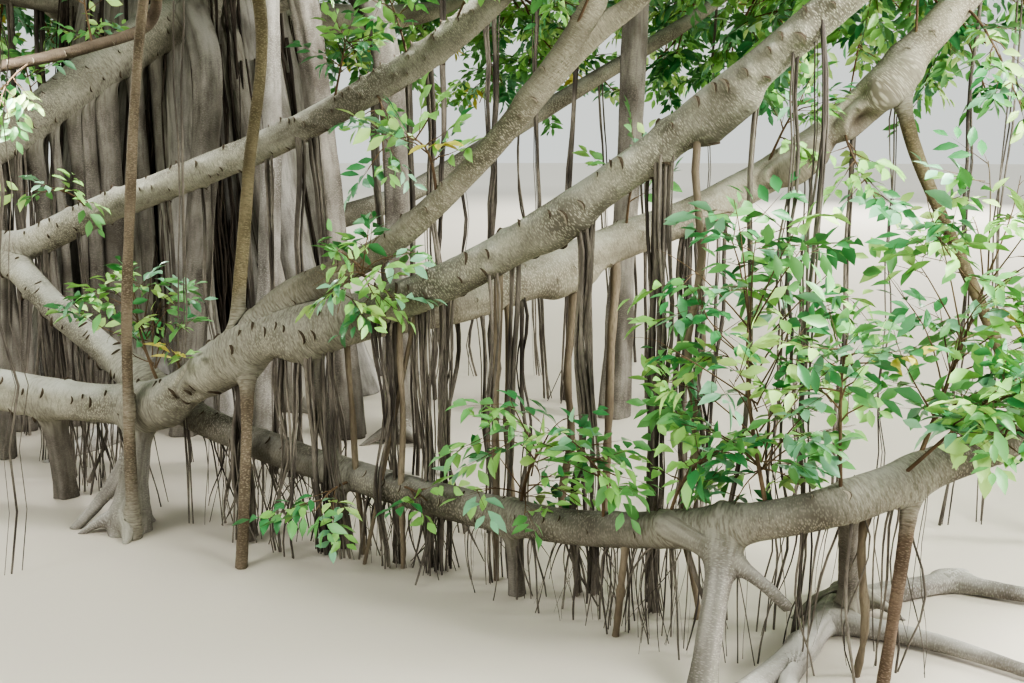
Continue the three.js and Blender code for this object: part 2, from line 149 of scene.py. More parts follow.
def smooth_noise(places, seed=0):
    """Smooth random heights from -1 to 1, the same on every run."""
    cell = np.floor(places).astype(np.int64)
    part = places - cell
    part = part * part * (3 - 2 * part)
    total = np.zeros(len(places))
    for corner in np.ndindex(2, 2, 2):
        x, y, z = (cell + corner).T
        mixed = (x * 374761393 + y * 668265263 + z * 2147483629 + seed * 1274126177) & 0xFFFFFFFF
        mixed = ((mixed ^ (mixed >> 13)) * 1274126177) & 0xFFFFFFFF
        height = ((mixed ^ (mixed >> 16)) & 0xFFFF) / 32767.5 - 1
        total += np.prod(np.where(corner, part, 1 - part), axis=1) * height
    return total


print("a curve through 3 points has", len(even_samples([(0, 0, 0), (1, 0, 0), (1, 1, 0)])[0]), "samples")

# %% [markdown]
# Bark is not an even cylinder. A fig bough swells in lumps, wrinkles across its length where it has
# thickened, and keeps a scar wherever a leaf or a twig once stood, and an eye where a bough did. Roots
# and pillars are fluted along their length instead, because they are several roots grown together. Each
# limb carries its own frame of side and up directions, so that these can be placed round it in
# straightened coordinates: metres along, and two across. All this could be sculpted, but a sculpt
# serves one limb alone, while a rule that reads these coordinates gives each limb bark of its own and
# follows its bends.

# %% A limb and its relief
LUMP_SCALE = (4.5, 9, 9)
WRINKLE_SCALE = (75, 13, 13)
WRINKLE_HEIGHT = 0.0007
LEAF_SCARS = dict(gap=0.05, widths=(0.01, 0.028), rises=(0.005, 0.014))
PEG_SCARS = dict(gap=0.034, widths=(0.008, 0.018), rises=(0.007, 0.014))
FEW_SCARS = dict(gap=0.09, widths=(0.008, 0.018), rises=(0.003, 0.008))
OPEN_SIDE = 0.35  # angle up from level at which most scars stand, on the side away from the trunk
OPEN_SHARE = 0.75  # share of the scars that stand there
SCAR_REACH = 0.08  # metres along a limb, either way, in which a scar can raise the bark
FIRST_SCAR_SEED = 500
SEED_SHIFT = 7.3  # metres along its own grain by which each limb's pattern is moved from the last one's
BLEND_MARGIN = 0.14  # metres round a limb in which it can shape its neighbours


def swing_from(turn, angle):
    """The angle from a turn to another, the short way round."""
    return (angle - turn + math.pi) % (2 * math.pi) - math.pi


class Limb:
    """A tapering limb: samples of its centre line, its radius, and a frame that follows it."""

    count = 0

    def __init__(self, route, radii, lumps=0.05, flutes=0, flute_depth=0.0, scars=None, eyes=(),
                 wrinkles=1.0):
        self.centre, self.along = even_samples(route)
        share = self.along / self.along[-1]
        self.radius = np.interp(share, np.linspace(0, 1, len(radii)), radii)
        self.ahead = unit(np.gradient(self.centre, axis=0))
        self.side, self.up = self.follow()
        self.lumps, self.flutes, self.flute_depth, self.wrinkles = lumps, flutes, flute_depth, wrinkles
        self.seed = Limb.count
        Limb.count += 1
        self.scars = self.set_scars(**scars) if scars else []
        self.eyes = eyes
        margin = self.radius.max() + BLEND_MARGIN
        self.low, self.high = self.centre.min(axis=0) - margin, self.centre.max(axis=0) + margin

    def follow(self):
        """Side and up directions that turn with the limb but never roll round it."""
        first = np.cross(self.ahead[0], (0, 0, 1))
        if np.linalg.norm(first) < 0.3:
            first = np.cross(self.ahead[0], (0, 1, 0))
        side = np.empty_like(self.ahead)
        side[0] = unit(first)
        for i in range(1, len(side)):
            side[i] = unit(side[i - 1] - self.ahead[i] * (side[i - 1] @ self.ahead[i]))
        return side, np.cross(side, self.ahead)

    def set_scars(self, gap, widths, rises):
        """Crescents at uneven steps: place along, angle round, half width and height."""
        chance = np.random.default_rng(FIRST_SCAR_SEED + self.seed)
        places = np.arange(0.3 * gap, self.along[-1], gap)
        number = len(places)
        places = places + gap * 0.5 * (chance.random(number) - 0.5)
        most = chance.random(number) < OPEN_SHARE
        turns = np.where(most, chance.normal(OPEN_SIDE, 0.7, number), chance.uniform(-3.1, 3.1, number))
        if self.side[:, 1].mean() > 0:
            turns = math.pi - turns
        return list(zip(places, turns, chance.uniform(*widths, number), chance.uniform(*rises, number)))

    def relief(self, along, across, above):
        """Height of the bark over the even limb, and how dark a scar is there."""
        straight = np.stack([along + SEED_SHIFT * self.seed, across, above], axis=1)
        radius = np.interp(along, self.along, self.radius)
        height = self.lumps * radius * smooth_noise(straight * LUMP_SCALE, 3)
        if self.wrinkles:
            height += self.wrinkles * WRINKLE_HEIGHT * smooth_noise(straight * WRINKLE_SCALE, 4)
        angle = np.arctan2(above, across)
        if self.flutes:
            twist = 2.2 * smooth_noise(straight * (1.6, 0, 0), 5) + 0.8 * along
            wave = np.cos(self.flutes * angle + twist)
            finer_wave = 0.5 * np.cos((self.flutes + 2) * angle - 1.7 * twist)
            height += self.flute_depth * radius * (wave + finer_wave)
        for place, turn, half_width, rise in self.scars:
            near = np.flatnonzero(np.abs(along - place) < SCAR_REACH)
            if len(near):
                swing = swing_from(turn, angle[near])
                away = np.hypot(along[near] - place, swing * radius[near]) / (1.2 * half_width)
                height[near] += rise * np.exp(-(away**2))
        dark = np.zeros(len(along))
        for place, turn, size, rise in self.eyes:
            away = np.hypot(0.65 * (along - place), swing_from(turn, angle) * radius) / size
            ring = np.exp(-(((away - 1) / 0.35) ** 2)) - 0.6 * np.exp(-(((away - 1.9) / 0.3) ** 2))
            pit = np.exp(-((away / 0.6) ** 2))
            height += rise * (ring - 0.8 * pit)
            dark = np.maximum(dark, 0.9 * pit + 0.4 * np.exp(-(((away - 1.8) / 0.25) ** 2)))
        return height, dark

    def nearest_sample(self, spots):
        """The index of the sample of the centre line nearest to each spot."""
        nearest = np.empty(len(spots), dtype=int)
        square = (self.centre**2).sum(axis=1)
        for first in range(0, len(spots), 20000):
            block = spots[first : first + 20000]
            nearest[first : first + 20000] = (square - 2 * block @ self.centre.T).argmin(axis=1)
        return nearest

    def read(self, spots):
        """For each spot: distance out of the bark, the way out, and the scar's darkness."""
        nearest = self.nearest_sample(spots)
        offset = spots - self.centre[nearest]
        past = np.clip((offset * self.ahead[nearest]).sum(axis=1), -SAMPLE, SAMPLE)
        out = offset - past[:, None] * self.ahead[nearest]
        distance = np.linalg.norm(out, axis=1)
        across = (out * self.side[nearest]).sum(axis=1)
        above = (out * self.up[nearest]).sum(axis=1)
        height, dark = self.relief(self.along[nearest] + past, across, above)
        return distance - self.radius[nearest] - height, out / np.maximum(distance, 1e-9)[:, None], dark


print("lumps", LUMP_SCALE, "to the metre, wrinkles", WRINKLE_SCALE)

# %% [markdown]
# The near boughs are set one by one, as a bonsai grower would wire them, because the eye sees each one
# whole. They are the same routes as the frame's solids: the left bough dives from the trunk to a knee,
# the long bough runs on from the knee to the right, and the low bough nearly touches the ground.

# %% Near boughs
BOUGH = dict(lumps=0.075, scars=LEAF_SCARS)
ROOT = dict(lumps=0.09, flutes=5, flute_depth=0.075)

LIMBS = {
    "left_bough": [
        Limb(
            [(0.25, -0.3, 2.38), (-0.19, -0.73, 1.99), (-0.65, -1.12, 1.55), (-1.24, -1.44, 1.08),
             (-1.7, -1.85, 0.49)],
            (0.15, 0.108, 0.09, 0.09, 0.09),
            **BOUGH,
        )
    ],
    "long_bough": [
        Limb(
            [(-1.64, -1.81, 0.54), (-1.08, -2.11, 0.5), (-0.46, -2.3, 0.52), (0.49, -2.58, 0.49),
             (1.04, -2.91, 0.79), (1.72, -3.18, 1.03), (2.34, -3.47, 1.42), (3.0, -3.81, 1.99),
             (3.55, -4.05, 2.56)],
            (0.088, 0.088, 0.086, 0.08, 0.076, 0.064, 0.058, 0.055, 0.046),
            eyes=((2.68, -0.5, 0.04, 0.018), (2.5, -0.9, 0.03, 0.012)),
            **BOUGH,
        )
    ],
    "low_bough_root": [
        Limb(
            [(-0.96, -1.29, 1.27), (-0.84, -1.42, 1.19), (-0.45, -1.61, 1.0), (-0.07, -1.95, 0.78),
             (0.45, -2.44, 0.56)],
            (0.076, 0.066, 0.062, 0.062, 0.063),
            **BOUGH,
        )
    ],
    "low_bough": [
        Limb(
            [(0.43, -2.4, 0.575), (0.71, -2.54, 0.42), (1.17, -2.8, 0.32), (1.78, -3.24, 0.28),
             (2.28, -3.65, 0.32), (2.8, -4.0, 0.48), (3.2, -3.95, 0.605), (3.6, -3.86, 0.77),
             (4.45, -3.45, 1.25)],
            (0.063, 0.06, 0.06, 0.062, 0.057, 0.057, 0.056, 0.052, 0.042),
            lumps=0.08,
            scars=FEW_SCARS,
        )
    ],
    "twin_bough": [
        Limb(
            [(1.43, -3.04, 0.89), (1.88, -2.73, 0.94), (2.36, -2.52, 1.11), (2.84, -2.48, 1.3),
             (3.26, -2.52, 1.58), (3.73, -2.64, 2.1), (4.2, -2.6, 2.8)],
            (0.07, 0.072, 0.074, 0.068, 0.064, 0.06, 0.046),
            lumps=0.07,
            scars=FEW_SCARS,
            eyes=((2.24, -0.5, 0.05, 0.022), (1.86, 0.1, 0.03, 0.014)),
        )
    ],
    "rising_bough": [
        Limb(
            [(1.0, -2.89, 0.77), (1.16, -2.93, 0.96), (1.61, -3.09, 1.21), (2.11, -3.21, 1.73),
             (2.47, -3.3, 2.37)],
            (0.062, 0.048, 0.041, 0.038, 0.03),
            lumps=0.07,
            scars=FEW_SCARS,
        ),
        Limb([(2.06, -3.2, 1.68), (2.28, -3.23, 1.88), (2.48, -3.28, 2.06), (2.8, -3.4, 2.5)],
             (0.024, 0.033, 0.03, 0.014), lumps=0.07, scars=FEW_SCARS),
    ],
    "upper_bough": [
        Limb(
            [(-0.56, -1.56, 1.04), (-0.3, -1.64, 1.07), (0.08, -1.76, 1.225), (1.05, -1.91, 1.6),
             (1.86, -2.03, 2.09), (2.3, -2.05, 2.75), (2.2, -1.95, 3.9)],
            (0.074, 0.07, 0.066, 0.065, 0.063, 0.058, 0.046),
            lumps=0.06,
            scars=PEG_SCARS,
        )
    ],
    "knee_bough": [
        Limb(
            [(-1.23, -1.43, 1.06), (-1.75, -1.85, 1.6), (-2.15, -2.25, 2.3), (-2.35, -2.45, 2.8)],
            (0.08, 0.072, 0.062, 0.05),
            **BOUGH,
        )
    ],
    "thin_left_bough": [
        Limb(
            [(-1.7, -1.8, 1.56), (-1.1, -1.8, 1.75), (0.03, -1.75, 1.96), (0.39, -1.76, 2.18),
             (0.45, -2.85, 2.76)],
            (0.029, 0.027, 0.026, 0.024, 0.018),
            lumps=0.06,
            scars=FEW_SCARS,
        )
    ],
}
# swellings that belong to a bough's skin: where limbs fork, and where roots once stood
KNOTS = {
    "long_bough": [
        Limb([(0.5, -2.6, 0.47), (0.62, -2.68, 0.5)], (0.088, 0.084)),
        Limb([(0.86, -2.83, 0.67), (0.98, -2.88, 0.73)], (0.084, 0.08)),
        Limb([(1.22, -3.0, 0.82), (1.32, -3.03, 0.85)], (0.074, 0.072)),
        Limb([(2.12, -3.37, 1.235), (2.2, -3.41, 1.285)], (0.05, 0.048)),
        Limb([(2.6, -3.6, 1.575), (2.68, -3.64, 1.645)], (0.05, 0.048)),
    ],
    "twin_bough": [
        Limb([(3.44, -2.62, 1.74), (3.5, -2.63, 1.8)], (0.07, 0.066)),
        Limb([(3.12, -2.55, 1.44), (3.17, -2.56, 1.48)], (0.068, 0.064)),
        Limb([(2.18, -2.59, 1.0), (2.26, -2.57, 1.03)], (0.078, 0.076)),
    ],
}
NEAR_BOUGHS = list(LIMBS)
for limb_name in NEAR_BOUGHS:
    print(limb_name, round(LIMBS[limb_name][0].along[-1], 2), "m long")

# %% [markdown]
# The boughs inside and behind follow a rule, since the eye only needs them to reach their masses of
# leaves: they spread from the fork of the trunk, sag a little and end under the crown.

# %% Boughs inside and behind
CROWN_X = 0.5
RING_REACH = 4.1
TOP_REACH = 1.6
BOUGH_LIFT = 2.9
FORK_HEIGHT = 2.62
FOOT_DEPTH = 0.09  # feet are drawn this far below the ground, then cut flat


def on_circle(centre_x, azimuth, reach, height):
    angle = math.radians(azimuth)
    return (centre_x + reach * math.cos(angle), reach * math.sin(angle), height)


def spreading_route(azimuth, start_height):
    tip = np.array(on_circle(CROWN_X, azimuth, 0.78 * RING_REACH, BOUGH_LIFT))
    start = np.array(on_circle(0, azimuth, 0.25, start_height))
    points = [start + (tip - start) * share - (0, 0, drop) for share, drop in ((0.35, 0.06), (0.7, 0.14))]
    return [start, *points, tip]


def rising_route(azimuth):
    return [
        on_circle(0.06, azimuth, 0.18, FORK_HEIGHT - 0.35),
        on_circle(0.2, azimuth, 0.52, FORK_HEIGHT + 0.6),
        on_circle(CROWN_X, azimuth, 0.62 * TOP_REACH, 4.4),
    ]


SPREADING = {
    "back_right_bough": (66, 2.25),
    "back_bough": (102, 2.35),
    "back_left_bough": (138, 2.2),
    "left_high_bough": (180, 2.35),
}
RISING = {"leader_back": 70, "leader_left": 190}
FAR_BOUGH_ROUTES = {
    "front_bough": ([(0.15, -0.35, 2.42), (0.7, -1.15, 2.6), (0.8, -2.3, 2.83), (0.3, -3.25, 3.02)],
                    (0.12, 0.1, 0.084, 0.06)),
    "right_bough": ([(0.35, -0.08, 2.35), (1.4, -0.28, 2.62), (2.72, -0.35, 2.7), (3.75, -0.25, 2.95)],
                    (0.12, 0.1, 0.084, 0.06)),
    "far_right_bough": ([(0.5, 0.06, 0.98), (1.32, 0.2, 1.23), (2.13, 0.56, 1.72), (3.18, 1.05, 2.36),
                         (3.65, 1.4, 2.7)],
                        (0.084, 0.066, 0.056, 0.05, 0.044)),
}
for limb_name, (azimuth, height) in SPREADING.items():
    FAR_BOUGH_ROUTES[limb_name] = (spreading_route(azimuth, height), (0.135, 0.11, 0.08, 0.055))
for limb_name, azimuth in RISING.items():
    FAR_BOUGH_ROUTES[limb_name] = (rising_route(azimuth), (0.19, 0.13, 0.08))
for limb_name, (route, radii) in FAR_BOUGH_ROUTES.items():
    LIMBS[limb_name] = [Limb(route, radii, lumps=0.08, wrinkles=0)]
print(len(FAR_BOUGH_ROUTES), "boughs inside and behind")

# %% [markdown]
# Prop roots and pillars hang from a bough down to the ground, where they flare. Their feet are drawn
# below the ground here and cut flat later, so each stands on the floor with a whole section. A plain
# cone would do for the shape of most, but a prop thickens at both ends, so each has a list of radii
# from its top to its foot.

# %% Prop roots and pillars


def footed(points, foot):
    return [*points, (*foot, -FOOT_DEPTH)]


def pillar_under(route, share):
    """The route of a pillar that stands under a hidden bough, at a share of its length."""
    centre, along = even_samples(route)
    top = centre[round(share * (len(centre) - 1))]
    return footed([top, top * (1, 1, 0.45) + (0.02, 0.05, 0)], (top[0] + 0.04, top[1] + 0.11))


PROPS = {
    "prop_front": (footed([(0.49, -2.59, 0.46), (0.48, -2.68, 0.2)], (0.465, -2.74)),
                   (0.054, 0.05, 0.054, 0.072, 0.098)),
    "prop_left_near": (footed([(0.06, -2.42, 0.45), (0.05, -2.33, 0.2)], (0.03, -2.23)),
                       (0.052, 0.044, 0.046, 0.06)),
    "prop_left_far": (footed([(-0.47, -1.6, 0.96), (-0.49, -1.61, 0.5)], (-0.51, -1.63)),
                      (0.046, 0.038, 0.038, 0.054)),
    "prop_fork": (footed([(1.01, -2.9, 0.76), (1.02, -3.03, 0.4)], (1.01, -3.16)),
                  (0.028, 0.021, 0.019, 0.023)),
    "prop_slant": (footed([(1.26, -3.02, 0.83), (1.32, -2.97, 0.4)], (1.37, -2.9)),
                   (0.03, 0.027, 0.027, 0.036)),
    "prop_light": (footed([(2.63, -3.9, 0.42), (2.57, -4.05, 0.22)], (2.5, -4.18)),
                   (0.046, 0.038, 0.035, 0.048)),
    "prop_lean": (footed([(2.96, -3.99, 0.52), (3.02, -3.8, 0.3)], (3.11, -3.54)),
                  (0.036, 0.029, 0.029, 0.042)),
    "prop_brown": (footed([(3.15, -3.96, 0.585), (3.09, -4.05, 0.3)], (3.03, -4.11)),
                   (0.024, 0.019, 0.018, 0.02)),
    "prop_short": (footed([(2.0, -3.42, 0.29), (2.01, -3.4, 0.12)], (2.02, -3.38)),
                   (0.032, 0.025, 0.032)),
    "knee_prop": (footed([(-1.69, -1.84, 0.5), (-1.73, -1.89, 0.24)], (-1.77, -1.93)),
                  (0.086, 0.086, 0.096, 0.14)),
    "pillar_left": (footed([(0.23, -0.56, 2.26), (0.38, -0.88, 1.9), (0.33, -0.94, 1.2)], (0.23, -1.15)),
                    (0.084, 0.07, 0.07, 0.092)),
    "pillar_bright": (footed([(0.77, -1.18, 2.6), (0.76, -1.2, 1.4)], (0.69, -1.29)),
                      (0.06, 0.054, 0.054, 0.076)),
    "pillar_slant": (footed([(0.69, -1.09, 2.59), (0.92, -1.08, 2.3), (1.04, -1.16, 1.4)], (1.14, -1.19)),
                     (0.076, 0.07, 0.07, 0.096)),
    "pillar_right": (footed([(0.6, -0.16, 2.45), (1.15, -0.65, 2.38), (1.37, -0.96, 1.7)], (1.42, -1.29)),
                     (0.076, 0.072, 0.072, 0.094)),
    "pillar_far": (footed([(2.72, -0.35, 2.69), (2.66, -0.52, 1.3)], (2.58, -0.73)),
                   (0.074, 0.066, 0.066, 0.095)),
    "pillar_back": (pillar_under(spreading_route(*SPREADING["back_bough"]), 0.6),
                    (0.07, 0.062, 0.064, 0.092)),
    "pillar_left_high": (pillar_under(spreading_route(*SPREADING["left_high_bough"]), 0.5),
                         (0.07, 0.062, 0.064, 0.092)),
    "knot_root": (footed([(3.5, -2.59, 1.85), (3.56, -2.64, 1.5), (3.9, -2.78, 0.7)], (4.18, -2.9)),
                  (0.03, 0.023, 0.023, 0.03)),
    "slim_stem_left": (footed([(0.78, -2.34, 2.8), (0.57, -2.48, 2.15), (0.52, -2.72, 1.1),
                               (0.5, -2.76, 0.45)], (0.52, -2.83)),
                       (0.021, 0.02, 0.02, 0.022)),
    "slim_stem_mid": ([(0.76, -2.56, 2.87), (1.04, -2.64, 2.08), (1.01, -2.79, 1.4), (0.965, -2.89, 0.83)],
                      (0.025, 0.023, 0.023, 0.024)),
    "ground_runner": ([(3.56, -3.33, 0.03), (3.087, -3.56, 0.026), (2.86, -3.9, 0.02),
                       (2.64, -4.15, 0.016)],
                      (0.03, 0.04, 0.04, 0.034)),
}
SMOOTH_STEMS = ("slim_stem_left", "slim_stem_mid", "prop_brown", "knot_root")
for limb_name, (route, radii) in PROPS.items():
    manner = dict(lumps=0.1) if limb_name in SMOOTH_STEMS else ROOT
    LIMBS[limb_name] = [Limb(route, radii, **manner)]
LIMBS["prop_front"].append(
    Limb([(0.45, -2.69, 0.26), (0.34, -2.7, 0.11), (0.21, -2.69, -0.03)], (0.03, 0.022, 0.017), lumps=0.1)
)


def toes(name, spread, count, first_turn, radius):
    """Surface roots that leave a prop's foot and sink into the ground."""
    foot = PROPS[name][0][-1][:2]
    chance = np.random.default_rng(int(100 * radius) + count)
    for i in range(count):
        turn = first_turn + 2 * math.pi * (i + 0.4 * chance.random()) / count
        reach = spread * chance.uniform(0.7, 1.1)
        way = np.array([math.cos(turn), math.sin(turn), 0])
        middle = np.array([*foot, 0.03]) + 0.55 * reach * way + (0, 0, 0.012)
        end = np.array([*foot, -0.02]) + reach * way + chance.normal(0, 0.015, 3) * (1, 1, 0)
        route = [(*foot, 0.07), np.array([*foot, 0.055]) + 0.3 * reach * way, middle, end]
        LIMBS[name].append(Limb(route, (radius, radius, 0.6 * radius, 0.3 * radius), lumps=0.12))


toes("prop_front", 0.2, 3, 2.6, 0.022)
toes("knee_prop", 0.3, 5, 0.1, 0.034)
toes("prop_lean", 0.22, 3, 0.9, 0.018)
toes("pillar_right", 0.22, 4, 0.5, 0.028)
toes("pillar_bright", 0.18, 4, 0.2, 0.022)
LIMBS["prop_light"].append(
    Limb([(2.47, -3.85, 0.4), (2.62, -3.97, 0.345), (2.72, -4.02, 0.28), (2.77, -4.04, 0.235)],
         (0.03, 0.026, 0.019, 0.017), lumps=0.08)
)
LIMBS["ground_runner"] += [
    Limb([(3.5, -3.34, 0.028), (3.8, -3.5, 0.03), (4.15, -3.5, 0.01)], (0.03, 0.024, 0.012), lumps=0.15),
    Limb([(3.0, -3.68, 0.03), (3.3, -3.86, 0.03), (3.6, -4.15, 0.02), (3.8, -4.3, 0.0)],
         (0.032, 0.026, 0.02, 0.01), lumps=0.15),
    Limb([(2.86, -3.86, 0.02), (2.74, -4.2, 0.016), (2.6, -4.4, 0.0)], (0.03, 0.022, 0.01), lumps=0.15),
]
print(len(PROPS), "props, pillars and slim stems")

# %% [markdown]
# The trunk is a ring of stems round a core. In the frame they are one solid. Here the core is drawn in
# and painted near black as shade, so that deep gaps open between the stems as on the real tree, and
# slimmer stems that have not fused yet stand in front of the gaps.

# %% Trunk stems
COLUMNS = 14
SLIM_COLUMNS = 14
FIRST_SLIM_SEED = 70
FOOT_REACH = (0.98, 0.8)
COLUMN_RADII = (0.22, 0.136, 0.116, 0.108, 0.096)
CORE_RADII = (0.86, 0.64, 0.6, 0.56, 0.47)
CORE_DRAWN_IN = 0.64
BUTTRESSES = 6
BUTTRESS_REACH = 1.75
BUTTRESS_RISE = 0.33


def trunk_column(i):
    angle = i / COLUMNS * 2 * math.pi
    spread = 0.9 + 0.1 * math.cos(i * 2.4)
    height = FORK_HEIGHT - 0.12 * (i % 3)
    sway = 0.12 * math.sin(i * 1.7)

    def at(share, z, twist):
        return (
            FOOT_REACH[0] * spread * share * math.cos(angle + twist),
            FOOT_REACH[1] * spread * share * math.sin(angle + twist),
            z,
        )

    route = [at(1, -FOOT_DEPTH, 0), at(0.8, 0.3 * height, sway), at(0.66, 0.65 * height, 0.5 * sway),
             at(0.5, height, 0)]
    return Limb(route, COLUMN_RADII, lumps=0.1, flutes=2, flute_depth=0.025, wrinkles=0)


def buttress(i):
    azimuth = (i + 0.4) * 360 / BUTTRESSES
    reach = BUTTRESS_REACH * (0.85 + 0.15 * math.sin(i * 2.1))
    route = [
        on_circle(0, azimuth, 0.3 * reach, BUTTRESS_RISE),
        on_circle(0, azimuth + 4, 0.65 * reach, 0.3 * BUTTRESS_RISE),
        on_circle(0, azimuth - 3, reach, -0.1 * BUTTRESS_RISE),
    ]
    return Limb(route, (0.15, 0.085, 0.045), lumps=0.12, wrinkles=0)


def slim_column(i, count):
    """A slimmer stem just outside the ring, which leans and wanders up to the fork."""
    chance = np.random.default_rng(FIRST_SLIM_SEED + i)
    angle = (i + 0.3 * chance.random()) / count * 2 * math.pi
    spread = 0.9 + 0.14 * chance.random()
    lean = 0.25 * (chance.random() - 0.5)
    top = FORK_HEIGHT - 0.5 * chance.random()
    route = []
    for share, reach in ((0, 1.04), (0.25, 0.93), (0.6, 0.8), (1, 0.56)):
        turn = angle + lean * share + 0.05 * (chance.random() - 0.5)
        route.append((
            FOOT_REACH[0] * spread * reach * math.cos(turn),
            FOOT_REACH[1] * spread * reach * math.sin(turn),
            -FOOT_DEPTH + share * (top + FOOT_DEPTH),
        ))
    thick = 0.018 + 0.03 * chance.random()
    return Limb(route, (1.7 * thick, thick, thick, 1.2 * thick), lumps=0.12, wrinkles=0)


core = Limb(
    [(0, 0, -FOOT_DEPTH), (0.02, 0.01, 0.5 * FORK_HEIGHT), (0.04, 0.02, FORK_HEIGHT)],
    [CORE_DRAWN_IN * radius for radius in CORE_RADII],
    lumps=0.1, flutes=9, flute_depth=0.05, wrinkles=0,
)
LIMBS["trunk"] = [trunk_column(i) for i in range(COLUMNS)] + [buttress(i) for i in range(BUTTRESSES)]
LIMBS["trunk_core"] = [core]
LIMBS["trunk_slim"] = [slim_column(i, SLIM_COLUMNS) for i in range(SLIM_COLUMNS)]
# under the left bough: x of the top, radius, x and y of the foot from there
LEFT_STEMS = (
    (-0.82, 0.026, -0.05, 0.06),
    (-0.7, 0.032, 0.02, 0.1),
    (-0.6, 0.024, -0.03, 0.02),
    (-0.53, 0.036, 0.03, 0.12),
    (-0.44, 0.022, 0.02, 0.0),
    (-0.36, 0.03, -0.01, 0.05),
    (-0.31, 0.034, 0.0, -0.02),
    (-0.22, 0.056, -0.02, 0.0),
    (-0.1, 0.034, 0.02, 0.03),
    (0.0, 0.03, 0.0, -0.04),
)
left_line = LIMBS["left_bough"][0].centre
for top_x, radius, shift_x, shift_y in LEFT_STEMS:
    top = left_line[np.abs(left_line[:, 0] - top_x).argmin()]
    middle = top * (1, 1, 0.5) + (0.5 * shift_x + 0.02, 0.5 * shift_y, 0)
    foot = (top[0] + shift_x, top[1] + shift_y, -FOOT_DEPTH)
    LIMBS["trunk_slim"].append(
        Limb([top, middle, foot], (1.2 * radius, radius, 1.5 * radius), lumps=0.12, wrinkles=0)
    )
print("trunk of", COLUMNS, "columns,", SLIM_COLUMNS, "slimmer stems and", BUTTRESSES, "buttresses")

# %% [markdown]
# Where two limbs meet, the real wood flows from one into the other. A Boolean union or a remesh would
# do it, but both lose the neat rows of faces that a bark pattern follows. Instead each limb is a tube,
# and its corners are moved onto one soft skin over all the limbs nearby. A corner that lies inside a
# neighbour is left under that neighbour's skin, so the two tubes meet along the crotch without a step.

# %% Tubes that settle on a shared skin
SOFTNESS = 0.02  # metres over which two limbs blend
JOINT_REACH = 0.11  # metres from a neighbour over which the two barks take the same colour
DOMES = ((0.87, 0.5), (0.5, 0.87))  # how far a rounded end's rings stand out, and their width
SETTLE_ROUNDS = 3
FURTHEST_MOVE = 0.04  # metres that a corner may move in one round


def tube(limb, step):
    """Corners, faces and straightened coordinates of a closed tube round a limb."""
    reach = limb.along[-1]
    rows = max(4, round(reach / step))
    around = max(7, round(2 * math.pi * limb.radius.max() / step))
    first, last = limb.radius[0], limb.radius[-1]
    body = [(place, 0.0, 1.0) for place in np.linspace(0, reach, rows + 1)]
    stations = (
        [(0.0, -push * first, scale) for push, scale in DOMES]
        + body
        + [(reach, push * last, scale) for push, scale in reversed(DOMES)]
    )
    place, push, scale = np.array(stations).T
    parts = (limb.centre, limb.ahead, limb.side, limb.up)
    centre, ahead, side, up = (between(place, limb.along, part) for part in parts)
    radius = np.interp(place, limb.along, limb.radius) * scale
    angle = np.arange(around) * 2 * math.pi / around
    across = radius[:, None] * np.cos(angle)
    above = radius[:, None] * np.sin(angle)
    rings = (
        (centre + ahead * push[:, None])[:, None]
        + across[..., None] * side[:, None]
        + above[..., None] * up[:, None]
    )
    straight = np.stack([np.broadcast_to((place + push)[:, None], across.shape), across, above], axis=-1)
    start_pole = limb.centre[0] - limb.ahead[0] * first
    end_pole = limb.centre[-1] + limb.ahead[-1] * last
    corners = np.vstack([rings.reshape(-1, 3), start_pole, end_pole])
    pole_coordinates = [[-first, 0, 0], [reach + last, 0, 0]]
    straight = np.vstack([straight.reshape(-1, 3), pole_coordinates]) + (SEED_SHIFT * limb.seed, 0, 0)
    row = np.arange(len(stations) - 1)[:, None] * around
    here = np.arange(around)[None, :]
    after = (here + 1) % around
    quads = np.stack([row + here, row + around + here, row + around + after, row + after], axis=-1)
    here, after = here[0], after[0]
    top = (len(stations) - 1) * around
    start = np.full(around, len(corners) - 2)
    start_cap = np.stack([start, here, after], axis=1)
    end_cap = np.stack([start + 1, top + after, top + here], axis=1)
    return corners, quads.reshape(-1, 4), np.vstack([start_cap, end_cap]), straight


def skin(spots, limbs):
    """The blended distance out of some limbs, the way out and the darkness of scars."""
    total = np.zeros(len(spots))
    way = np.zeros((len(spots), 3))
    dark = np.zeros(len(spots))
    for limb in limbs:
        near = np.flatnonzero(np.all((spots > limb.low) & (spots < limb.high), axis=1))
        if not len(near):
            continue
        distance, out, scar = limb.read(spots[near])
        weight = np.exp(-distance / SOFTNESS)
        total[near] += weight
        way[near] += weight[:, None] * out
        dark[near] += weight * scar
    floor = np.maximum(total, 1e-30)
    return -SOFTNESS * np.log(floor), way / floor[:, None], dark / floor


def settle(spots, own, others):
    """Moves tube corners onto the soft skin over their own limbs and their neighbours."""
    dark = np.zeros(len(spots))
    for _ in range(SETTLE_ROUNDS):
        mine, my_way, dark = skin(spots, own)
        theirs, their_way, _ = skin(spots, others)
        both = -SOFTNESS * np.logaddexp(-mine / SOFTNESS, -theirs / SOFTNESS)
        share = 1 / (1 + np.exp(np.clip((mine - theirs) / SOFTNESS, -60, 60)))
        way = unit(share[:, None] * my_way + (1 - share)[:, None] * their_way)
        depth = np.maximum(mine - theirs, 0)
        goal = -(depth**2) / (depth + SOFTNESS)
        spots = spots + way * np.clip(goal - both, -FURTHEST_MOVE, FURTHEST_MOVE)[:, None]
    return spots, dark, np.clip(1 - theirs / JOINT_REACH, 0, 1)


def meets(limb, others):
    return any(np.all(limb.low < other.high) and np.all(other.low < limb.high) for other in others)


